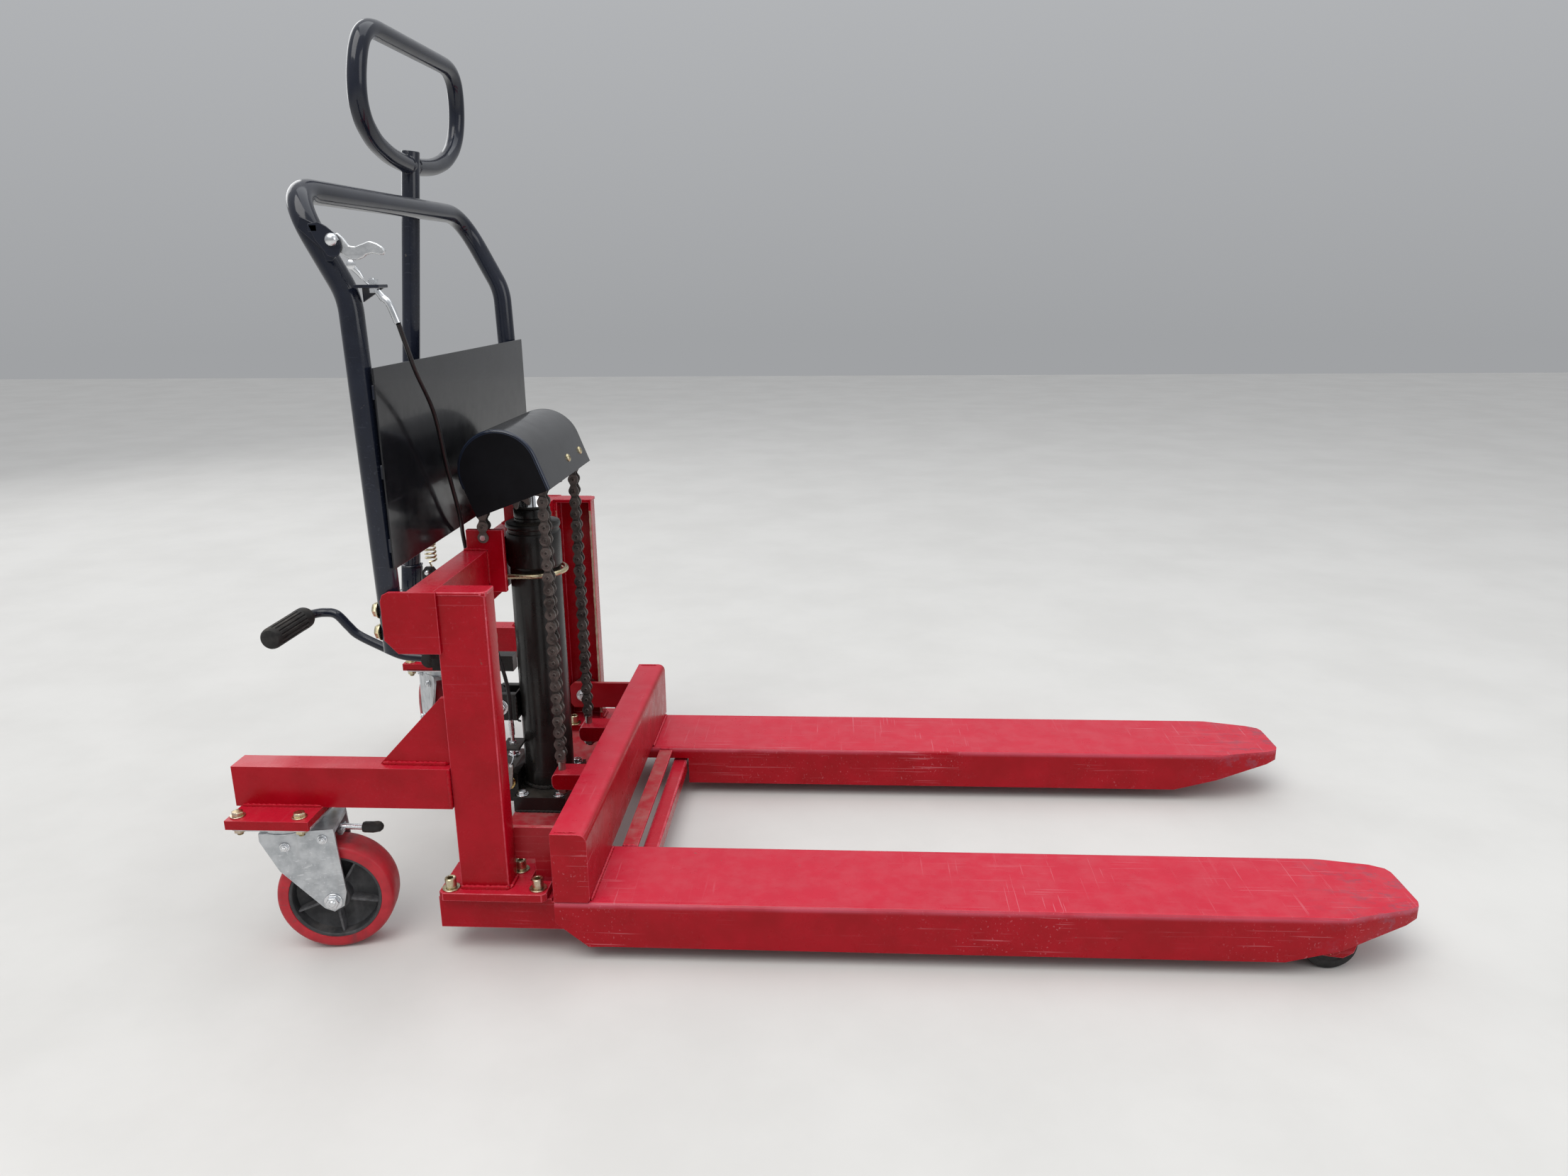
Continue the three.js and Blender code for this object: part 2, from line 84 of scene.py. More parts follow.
def area(name, loc, target, size, energy, color=(1, 1, 1)):
    d = bpy.data.lights.new(name, "AREA")
    d.shape, d.size, d.energy, d.color = "SQUARE", size, energy, color
    o = bpy.data.objects.new(name, d)
    o.location = loc
    o.rotation_euler = (Vector(target) - Vector(loc)).to_track_quat("-Z", "Y").to_euler()
    bpy.context.scene.collection.objects.link(o)


area("key", (-1.2, -2.2, 4.2), (0, 0, 0.3), 3.2, 105, (1, 0.985, 0.96))
area("top", (0.8, 0.8, 4.6), (0, 0, 0.2), 4.0, 60, (0.95, 0.98, 1))
area("side", (3.6, -1.6, 1.9), (0, 0, 0.4), 2.4, 30)
area("back", (-3.4, 2.6, 2.6), (0, 0, 0.5), 2.6, 35)
world = bpy.data.worlds.new("world")
bpy.context.scene.world = world
world.use_nodes = True
wn, wl = world.node_tree.nodes, world.node_tree.links
sky_dir = wn.new("ShaderNodeTexCoord")
sky_z = wn.new("ShaderNodeSeparateXYZ")
sky_k = wn.new("ShaderNodeMapRange")
for i_, v_ in enumerate((-0.05, 0.95, 0.40, 0.80)):
    sky_k.inputs[i_ + 1].default_value = v_
wl.new(sky_dir.outputs["Generated"], sky_z.inputs[0])
wl.new(sky_z.outputs["Z"], sky_k.inputs[0])
wl.new(sky_k.outputs[0], wn["Background"].inputs[1])
wn["Background"].inputs[0].default_value = (0.88, 0.90, 0.93, 1)
bpy.context.scene.view_settings.view_transform = "Standard"

# ---------------------------------------------------------------- materials


def mat(name, c1, c2, rough=(0.25, 0.4), metal=0.0, scale=18, bump=0.08, bump_scale=350, coat=0.0, coat_rough=0.08,
        dust=0.0, dust_c=(0.42, 0.35, 0.30), scratch=0.0, scratch_c=(0.6, 0.5, 0.5), edge=0.0, edge_highlight_c=(0.7, 0.3, 0.3),
        chips=0.0, chip_c=(0.16, 0.10, 0.08), top=0.0, top_c=(0.8, 0.1, 0.15), spec=0.5, streak=None, tip_scuff_and_rim_highlight=0.0):
    m = bpy.data.materials.new(name)
    m.use_nodes = True
    nt = m.node_tree
    N, L = nt.nodes, nt.links
    bsdf = N["Principled BSDF"]
    tc = N.new("ShaderNodeTexCoord")
    geo = N.new("ShaderNodeNewGeometry")

    def noise(sc, detail=5, rough_=0.6, mapping=None, rot=(0, 0, 0), w=0.0):
        n = N.new("ShaderNodeTexNoise")
        n.inputs["Scale"].default_value = sc
        n.inputs["Detail"].default_value = detail
        n.inputs["Roughness"].default_value = rough_
        mp = N.new("ShaderNodeMapping")
        mp.inputs["Location"].default_value = (w, w * 0.7, w * 1.3)
        mp.inputs["Rotation"].default_value = rot
        if mapping:
            mp.inputs["Scale"].default_value = mapping
        L.new(tc.outputs["Object"], mp.inputs[0])
        L.new(mp.outputs[0], n.inputs["Vector"])
        return n.outputs["Fac"]

    def ramp(src, a, b, va=0.0, vb=1.0):
        r = N.new("ShaderNodeMapRange")
        r.interpolation_type = "SMOOTHSTEP"
        for i, v in enumerate((a, b, va, vb)):
            r.inputs[i + 1].default_value = v
        L.new(src, r.inputs[0])
        return r.outputs[0]

    def mul(a, b):
        r = N.new("ShaderNodeMath")
        r.operation = "MULTIPLY"
        for i, v in enumerate((a, b)):
            if isinstance(v, (int, float)):
                r.inputs[i].default_value = v
            else:
                L.new(v, r.inputs[i])
        return r.outputs[0]

    def mix(fac, a, b):
        r = N.new("ShaderNodeMix")
        r.data_type = "RGBA"
        L.new(fac, r.inputs["Factor"])
        for key, v in (("A", a), ("B", b)):
            s = [i for i in r.inputs if i.name == key and i.type == "RGBA"][0]
            if isinstance(v, tuple):
                s.default_value = (*v, 1)
            else:
                L.new(v, s)
        return [o for o in r.outputs if o.type == "RGBA"][0]

    col = mix(ramp(noise(scale), 0.3, 0.7), c1, c2)
    sep = N.new("ShaderNodeSeparateXYZ")
    L.new(geo.outputs["Normal"], sep.inputs[0])
    rgh = ramp(noise(scale * 2.3, 6, w=3.1), 0.25, 0.75, rough[0], rough[1])
    # painted light from above: faces turning upward blend towards the brighter top colour
    if top:
        col = mix(mul(ramp(sep.outputs["Z"], 0.55, 0.98), top), col, top_c)
    # painted edge highlight: a lighter colour mixed in where the mesh is pointy, broken up by noise
    if edge:
        col = mix(mul(mul(ramp(geo.outputs["Pointiness"], 0.515, 0.56), edge), ramp(noise(60, w=9), 0.35, 0.6)), col, edge_highlight_c)
    if scratch:
        s1 = ramp(noise(6, 2, 0.5, (1.2, 60, 60), (0.2, 0.1, 0.35), 2), 0.655, 0.68)
        s2 = ramp(noise(5, 2, 0.5, (70, 1.5, 50), (0.1, 0.5, 0.2), 5), 0.665, 0.69)
        add = N.new("ShaderNodeMath")
        add.operation = "MAXIMUM"
        L.new(s1, add.inputs[0])
        L.new(s2, add.inputs[1])
        sc_ = mul(mul(add.outputs[0], ramp(noise(3.5, w=11), 0.42, 0.62)), scratch)
        col = mix(sc_, col, scratch_c)
    if chips:
        ch = mul(ramp(noise(75, 7, 0.65, w=17), 0.69, 0.705), chips)
        ch = mul(ch, ramp(noise(4, w=23), 0.5, 0.6))
        col = mix(ch, col, chip_c)
    # tip: darker scuffs towards the fork tip, and also a painted highlight band along the top edge
    if tip_scuff_and_rim_highlight:
        sx = N.new("ShaderNodeSeparateXYZ")
        L.new(tc.outputs["Object"], sx.inputs[0])
        t = mul(ramp(sx.outputs["X"], 0.93 + OX, 1.12 + OX), ramp(noise(48, 9, 0.75, (0.7, 1.4, 1), w=4), 0.49, 0.62))
        col = mix(mul(t, tip_scuff_and_rim_highlight), col, (0.24, 0.06, 0.09))
        # painted highlight: a pink band just below the fork's top on its side faces, standing in for light on a rounded
        # edge
        side = N.new("ShaderNodeMath")
        side.operation = "SUBTRACT"
        side.inputs[0].default_value = 1.0
        L.new(ramp(sep.outputs["Z"], 0.5, 0.9), side.inputs[1])
        rim_highlight_band = mul(ramp(sx.outputs["Z"], 0.0795, 0.0885), ramp(sx.outputs["Z"], 0.0897, 0.0901, 1.0, 0.0))
        col = mix(mul(mul(rim_highlight_band, side.outputs[0]), mul(ramp(noise(7, w=13), 0.2, 0.6), 0.6)), col, (0.66, 0.15, 0.22))
    if streak:
        st = mul(ramp(noise(9, 4, 0.6, (3, 3, 0.25), w=31), 0.56, 0.7), streak[1])
        col = mix(st, col, streak[0])
    if dust:
        du = mul(mul(ramp(sep.outputs["Z"], 0.6, 0.95), ramp(noise(26, 8, 0.7, w=41), 0.38, 0.66)), dust)
        col = mix(du, col, dust_c)
        ad = N.new("ShaderNodeMath")
        ad.operation = "ADD"
        L.new(rgh, ad.inputs[0])
        L.new(mul(du, 0.45), ad.inputs[1])
        rgh = ad.outputs[0]
    L.new(col, bsdf.inputs["Base Color"])
    L.new(rgh, bsdf.inputs["Roughness"])
    bsdf.inputs["Metallic"].default_value = metal
    bsdf.inputs["Specular IOR Level"].default_value = spec
    bsdf.inputs["Coat Weight"].default_value = coat
    bsdf.inputs["Coat Roughness"].default_value = coat_rough
    if bump:
        b = N.new("ShaderNodeBump")
        b.inputs["Strength"].default_value = bump
        b.inputs["Distance"].default_value = 0.0006
        L.new(noise(bump_scale, 3, 0.5, w=2), b.inputs["Height"])
        L.new(b.outputs[0], bsdf.inputs["Normal"])
    return m


RED1, RED2 = (0.30, 0.0008, 0.006), (0.37, 0.0015, 0.010)
M = {}
# the red enamels get painted light from above through top and the brighter top colour
M["red"] = mat("red_enamel", RED1, RED2, (0.20, 0.32), coat=0.05, top=0.5, top_c=(0.62, 0.018, 0.045), scratch=0.16, scratch_c=(0.62, 0.16, 0.20), spec=0.18,
               chips=0.6, dust=0.05, dust_c=(0.50, 0.20, 0.20), bump=0.07, bump_scale=130)
M["red_fork"] = mat("red_enamel_scuffed", RED1, RED2, (0.24, 0.40), coat=0.04, top=0.65, top_c=(0.66, 0.026, 0.060), scratch=0.34, scratch_c=(0.66, 0.26, 0.30), spec=0.20,
                    chips=1.0, dust=0.10, dust_c=(0.56, 0.22, 0.24), tip_scuff_and_rim_highlight=0.7, bump=0.08, bump_scale=110)
M["red_dusty"] = mat("red_enamel_dusty", RED1, (0.36, 0.005, 0.014), (0.3, 0.5), coat=0.05, top=0.4, top_c=(0.55, 0.03, 0.05), scratch=0.2, scratch_c=(0.6, 0.2, 0.2), spec=0.3,
                     chips=1.0, dust=0.5, dust_c=(0.38, 0.20, 0.18), bump=0.12, bump_scale=140)
M["blue"] = mat("blue_black_enamel", (0.0065, 0.0085, 0.0165), (0.0105, 0.0135, 0.025), (0.12, 0.24), coat=0.3, coat_rough=0.06, scratch=0.14, scratch_c=(0.10, 0.11, 0.14), spec=0.3,
                chips=0.6, chip_c=(0.2, 0.17, 0.14), dust=0.03, bump=0.05, bump_scale=160)
M["black"] = mat("black_gloss_enamel", (0.0045, 0.0046, 0.0060), (0.0085, 0.0088, 0.0110), (0.13, 0.25), coat=0.3, scratch=0.14, scratch_c=(0.09, 0.09, 0.10), spec=0.3,
                 chips=0.4, dust=0.03, dust_c=(0.12, 0.11, 0.10), bump=0.04, bump_scale=170)
M["satin"] = mat("black_satin_oily", (0.006, 0.006, 0.006), (0.014, 0.013, 0.012), (0.22, 0.42), coat=0.12, scratch=0.2, scratch_c=(0.09, 0.085, 0.08), spec=0.3,
                 chips=0.6, dust=0.3, dust_c=(0.12, 0.10, 0.08), bump=0.10, bump_scale=220)
M["steel"] = mat("oily_steel", (0.30, 0.28, 0.26), (0.46, 0.44, 0.42), (0.28, 0.5), metal=1.0, scratch=0.5, scratch_c=(0.7, 0.7, 0.7), chips=0.6, bump=0.10, bump_scale=500)
M["chrome"] = mat("hard_chrome", (0.72, 0.73, 0.75), (0.80, 0.81, 0.83), (0.07, 0.15), metal=1.0, scratch=0.2, scratch_c=(0.5, 0.5, 0.52), bump=0.02, bump_scale=700,
                  streak=((0.35, 0.30, 0.24), 0.35))
M["zinc"] = mat("yellow_zinc", (0.46, 0.38, 0.20), (0.56, 0.50, 0.34), (0.22, 0.38), metal=1.0, scale=90, edge=0.4, edge_highlight_c=(0.8, 0.76, 0.6), chips=0.5,
                chip_c=(0.25, 0.16, 0.08), bump=0.06, bump_scale=600, streak=((0.5, 0.36, 0.38), 0.4))
M["bright"] = mat("bright_zinc", (0.62, 0.64, 0.66), (0.74, 0.75, 0.77), (0.18, 0.34), metal=1.0, scale=70, bump=0.06, bump_scale=600, chips=0.3)
M["galv"] = mat("galvanised_steel", (0.40, 0.42, 0.44), (0.58, 0.60, 0.62), (0.30, 0.52), metal=0.85, scale=55, scratch=0.5, scratch_c=(0.75, 0.76, 0.78), edge=0.4,
                edge_highlight_c=(0.8, 0.81, 0.82), chips=0.7, chip_c=(0.22, 0.18, 0.15), bump=0.12, bump_scale=260, streak=((0.30, 0.27, 0.25), 0.45))
M["chain"] = mat("oily_chain", (0.036, 0.031, 0.029), (0.078, 0.068, 0.063), (0.34, 0.55), metal=0.45, scale=150, edge=0.6, edge_highlight_c=(0.20, 0.175, 0.16), bump=0.05, bump_scale=700,
                 streak=((0.11, 0.055, 0.032), 0.3), spec=0.4)
M["rubber"] = mat("black_rubber", (0.012, 0.012, 0.012), (0.030, 0.029, 0.028), (0.55, 0.8), scale=60, dust=0.45, dust_c=(0.14, 0.12, 0.10), bump=0.25, bump_scale=500, spec=0.35)
M["sheath"] = mat("cable_sheath", (0.006, 0.006, 0.007), (0.012, 0.012, 0.013), (0.25, 0.4), scale=60, spec=0.35, bump=0.05, bump_scale=500)
M["tread"] = mat("red_polyurethane", (0.36, 0.010, 0.020), (0.50, 0.020, 0.032), (0.34, 0.58), scale=30, coat=0.08, scratch=0.5, scratch_c=(0.16, 0.05, 0.05),
                 chips=1.0, chip_c=(0.10, 0.04, 0.04), dust=0.4, dust_c=(0.26, 0.12, 0.11), bump=0.14, bump_scale=260, streak=((0.14, 0.03, 0.035), 0.7), spec=0.4)
M["core"] = mat("cast_core", (0.018, 0.019, 0.021), (0.045, 0.045, 0.048), (0.45, 0.7), scale=50, edge=0.5, edge_highlight_c=(0.16, 0.16, 0.17), dust=0.4, dust_c=(0.16, 0.14, 0.13), bump=0.3,
                bump_scale=420, streak=((0.09, 0.09, 0.095), 0.5))
M["alloy"] = mat("satin_alloy", (0.58, 0.59, 0.60), (0.70, 0.71, 0.72), (0.26, 0.42), metal=0.95, scale=60, scratch=0.4, scratch_c=(0.4, 0.4, 0.42), bump=0.08, bump_scale=500)
# pale cream colour with darker streaks, for the strips on the upright's flange edges
M["pale_strip"] = mat("pale_streaked_strip", (0.55, 0.46, 0.34), (0.36, 0.24, 0.16), (0.25, 0.5), scale=70, bump=0.3, bump_scale=200, streak=((0.16, 0.07, 0.04), 0.7))
M["brass"] = mat("brass", (0.62, 0.42, 0.15), (0.72, 0.52, 0.22), (0.2, 0.35), metal=1.0, scale=80, bump=0.05, bump_scale=500)
# painted shade for recesses, not used by any part
M["dark"] = mat("dark_recess", (0.008, 0.008, 0.008), (0.02, 0.018, 0.016), (0.5, 0.7), scale=80, bump=0.1)
# painted edge highlight: bevel faces of the red parts get a lighter pink enamel
RIM_HIGHLIGHT = {"red": "red_rim_highlight", "red_fork": "red_rim_highlight", "red_dusty": "red_rim_highlight"}
M["red_rim_highlight"] = mat("red_enamel_painted_edge_highlight", (0.44, 0.012, 0.028), (0.60, 0.06, 0.09), (0.22, 0.34), coat=0.15, scale=40, chips=1.0, scratch=0.3, scratch_c=(0.75, 0.35, 0.38), spec=0.45, bump=0.06, bump_scale=130)
# painted shade: a darker, duller copy of the black enamel for the cover's end faces
M["end"] = mat("black_end_plate", (0.0035, 0.0036, 0.0048), (0.006, 0.006, 0.008), (0.34, 0.5), spec=0.12, bump=0.03, bump_scale=170)
# painted highlight: a bluer copy of the black enamel for the cover's rounded folds
M["fold_highlight"] = mat("blue_black_painted_fold_highlight", (0.012, 0.018, 0.036), (0.018, 0.027, 0.052), (0.16, 0.26), coat=0.3, spec=0.4, bump=0.03, bump_scale=170)

# ---------------------------------------------------------------- mesh building, in mm of the part's own layout


def finish_mesh(name, me, m, body, bevel=0.0, angle=30, seg=2, node=None):
    me.materials.clear()
    me.materials.append(M[m])
    o = bpy.data.objects.new(name, me)
    bpy.context.scene.collection.objects.link(o)
    me.shade_smooth()
    me.set_sharp_from_angle(angle=math.radians(38))
    if bevel:
        b = o.modifiers.new("bevel", "BEVEL")
        b.width, b.segments, b.limit_method, b.angle_limit = bevel / 1000, seg, "ANGLE", math.radians(angle)
        b.harden_normals = True
        b.use_clamp_overlap = True
        # bevel faces take the painted edge highlight material
        if m in RIM_HIGHLIGHT:
            me.materials.append(M[RIM_HIGHLIGHT[m]])
            b.material = 1
    if body:
        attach(o, body)
    for n in ([node] if isinstance(node, str) else node or []):
        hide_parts(n)
    return o


def refine(node, m, bevel=1.0, seg=2, angle=28):
    """A cleaned copy of a CAD node with rounded edges, standing for it."""
    bm = bmesh.new()
    bm.from_mesh(NODES[node].data)
    bmesh.ops.remove_doubles(bm, verts=bm.verts, dist=1e-5)
    bmesh.ops.dissolve_limit(bm, angle_limit=math.radians(1.0), verts=bm.verts, edges=bm.edges)
    me = bpy.data.meshes.new(node + "_shell")
    bm.to_mesh(me)
    bm.free()
    return finish_mesh(node + "_shell", me, m, BODY[node], bevel, angle, seg, node)


def at(p, d=(0, 0, 1)):
    z = Vector(d).normalized()
    q = z.to_track_quat("Z", "Y")
    m = q.to_matrix().to_4x4()
    m.translation = Vector(p)
    return m


def resample(path, step):
    path = [Vector(p) for p in path]
    out = [path[0]]
    for a, b in zip(path, path[1:]):
        n = max(1, int(round((b - a).length / step)))
        out += [a.lerp(b, k / n) for k in range(1, n + 1)]
    return out


def spline(points, per=6):
    p = [Vector(q) for q in points]
    p = [p[0] * 2 - p[1]] + p + [p[-1] * 2 - p[-2]]
    out = []
    for i in range(1, len(p) - 2):
        a, b, c, d = p[i - 1:i + 3]
        for k in range(per):
            t = k / per
            out.append(0.5 * ((2 * b) + (c - a) * t + (2 * a - 5 * b + 4 * c - d) * t * t + (3 * b - a - 3 * c + d) * t ** 3))
    out.append(p[-2])
    return out


def fillet(points, bends, steps=10):
    pts = [Vector(p) for p in points]
    out = [pts[0]]
    for i in range(1, len(pts) - 1):
        p, R = pts[i], bends[i - 1]
        a, b = pts[i - 1] - p, pts[i + 1] - p
        if not R:
            out.append(p)
            continue
        half = a.angle(b) / 2
        cut = min(R / math.tan(half), 0.48 * a.length, 0.48 * b.length)
        p0, p1 = p + a.normalized() * cut, p + b.normalized() * cut
        for k in range(steps + 1):
            t = k / steps
            out.append(p0 * (1 - t) ** 2 + p * 2 * t * (1 - t) + p1 * t * t)
    out.append(pts[-1])
    return out


class Shape:
    def __init__(s):
        s.v, s.f = [], []

    def add(s, V, F, mx=None):
        n = len(s.v)
        s.v += [(mx @ Vector(p)) if mx is not None else Vector(p) for p in V]
        s.f += [tuple(i + n for i in f) for f in F]
        return s

    def prism(s, poly, axis, a, b, mx=None):
        put = {"y": lambda p, t: (p[0], t, p[1]), "z": lambda p, t: (p[0], p[1], t), "x": lambda p, t: (t, p[0], p[1])}[axis]
        n = len(poly)
        V = [put(p, a) for p in poly] + [put(p, b) for p in poly]
        F = [tuple(range(n))[::-1], tuple(range(n, 2 * n))] + [(i, (i + 1) % n, n + (i + 1) % n, n + i) for i in range(n)]
        return s.add(V, F, mx)

    def box(s, x0, x1, y0, y1, z0, z1, mx=None):
        return s.prism([(x0, y0), (x1, y0), (x1, y1), (x0, y1)], "z", z0, z1, mx)

    def lathe(s, prof, seg=32, mx=None, closed=False):
        """Revolves (r, a[, hex]) about local Z."""
        V, F = [], []
        n = len(prof)
        for k in range(seg):
            th = 2 * math.pi * k / seg
            for q in prof:
                r = q[0]
                if len(q) > 2:
                    r = r * math.cos(math.pi / 6) / math.cos((th % (math.pi / 3)) - math.pi / 6)
                V.append((r * math.cos(th), r * math.sin(th), q[1]))
        for k in range(seg):
            k2 = (k + 1) % seg
            for i in range(n if closed else n - 1):
                j = (i + 1) % n
                F.append((k * n + i, k2 * n + i, k2 * n + j, k * n + j))
        return s.add(V, F, mx)

    def tube(s, path, r, seg=16, closed=False, caps=True):
        p = [Vector(q) for q in path]
        n = len(p)
        rad = r if isinstance(r, (list, tuple)) else [r] * n
        tan = []
        for i in range(n):
            a = p[i - 1] if (i or closed) else p[0]
            b = p[(i + 1) % n] if (i < n - 1 or closed) else p[-1]
            d = Vector((0, 0, 0))
            if (p[i] - a).length > 1e-9:
                d += (p[i] - a).normalized()
            if (b - p[i]).length > 1e-9:
                d += (b - p[i]).normalized()
            tan.append(d.normalized())
        u = tan[0].orthogonal().normalized()
        V, F = [], []
        for i in range(n):
            if i:
                u = (u - tan[i] * u.dot(tan[i])).normalized()
            w = tan[i].cross(u)
            for k in range(seg):
                th = 2 * math.pi * k / seg
                V.append(p[i] + (u * math.cos(th) + w * math.sin(th)) * rad[i])
        for i in range(n if closed else n - 1):
            j = (i + 1) % n
            for k in range(seg):
                F.append((i * seg + k, i * seg + (k + 1) % seg, j * seg + (k + 1) % seg, j * seg + k))
        if caps and not closed:
            F += [tuple(range(seg))[::-1], tuple(range((n - 1) * seg, n * seg))]
        return s.add(V, F)

    def weld(s, path, r=3.0, step=2.2):
        p = resample(path, step)
        rad, q = [], []
        for i, a in enumerate(p):
            e = min(1, (min(i, len(p) - 1 - i) + 0.4) / 2.0)
            rad.append(max(0.3, r * e * (0.92 + 0.16 * math.sin(i * 1.9) + random.uniform(-0.07, 0.07))))
            q.append(a + Vector([random.uniform(-0.25, 0.25) for _ in range(3)]))
        return s.tube(q, rad, 8)

    def hexhead(s, p, d, r, h, washer=0.0):
        mx = at(p, d)
        z = 0.0
        if washer:
            s.lathe([(0, 0), (washer - 0.4, 0), (washer, 0.3), (washer, 1.4), (washer - 0.4, 1.8), (0, 1.8)], 28, mx)
            z = 1.8
        s.lathe([(0, z), (r * 0.97, z, 1), (r, z + 0.5, 1), (r, z + h * 0.82, 1), (r * 0.93, z + h * 0.95, 1), (r * 0.78, z + h), (r * 0.4, z + h + 0.1), (0, z + h + 0.1)], 24, mx)
        return s

    def nut(s, p, d, r, h, stud=0.0, washer=0.0):
        s.hexhead(p, d, r, h, washer)
        if stud:
            z = h + (1.8 if washer else 0)
            n = int(stud / 0.9)
            prof = [(0, z - 1)] + [(r * (0.53 if k % 2 else 0.46), z - 1 + 1 + 0.9 * k * 0.5) for k in range(2 * n)] + [(r * 0.4, z + stud), (0, z + stud)]
            s.lathe(prof, 18, at(p, d))
        return s

    def socket(s, p, d, r, h, washer=0.0):
        mx = at(p, d)
        z = 0.0
        if washer:
            s.lathe([(0, 0), (washer - 0.4, 0), (washer, 0.4), (washer, 1.8), (washer - 0.4, 2.2), (0, 2.2)], 30, mx)
            z = 2.2
        prof = [(0, z), (r - 0.5, z), (r, z + 0.6), (r, z + h - 1.0), (r - 0.9, z + h), (r * 0.62, z + h), (r * 0.56, z + h - 0.5, 1), (r * 0.56, z + h * 0.42, 1), (0, z + h * 0.36)]
        s.lathe(prof, 36, mx)
        return s

    def make(s, name, m, body, bevel=0.0, angle=30, seg=2, node=None, merge=True):
        bm = bmesh.new()
        vs = [bm.verts.new(W(*v)) for v in s.v]
        for f in s.f:
            if len(set(f)) > 2:
                try:
                    bm.faces.new([vs[i] for i in f])
                except ValueError:
                    pass
        if merge:
            bmesh.ops.remove_doubles(bm, verts=bm.verts, dist=2e-6)
        bmesh.ops.dissolve_degenerate(bm, edges=bm.edges, dist=1e-7)
        bmesh.ops.recalc_face_normals(bm, faces=bm.faces)
        me = bpy.data.meshes.new(name)
        bm.to_mesh(me)
        bm.free()
        return finish_mesh(name, me, m, body, bevel, angle, seg, node)


def arc(cx, cz, r, a0, a1, n):
    return [(cx + r * math.cos(math.radians(a0 + (a1 - a0) * i / n)), cz + r * math.sin(math.radians(a0 + (a1 - a0) * i / n))) for i in range(n + 1)]


SIDES = (("near", -1), ("far", 1))

# ---------------------------------------------------------------- straddle chassis
for tag, s in SIDES:
    refine("chassis_leg_" + tag, "red", 2.5, 3)
    refine("upright_" + tag, "red", 1.3, 2)
    refine("chain_anchor_" + tag, "red", 1.2, 2)
    refine("outrigger_" + tag, "red", 1.6, 3)
refine("cross_tube", "red", 3.5, 3)
refine("deck_plate", "red_dusty", 1.5, 2)
refine("top_crossbeam", "red", 1.6, 3)

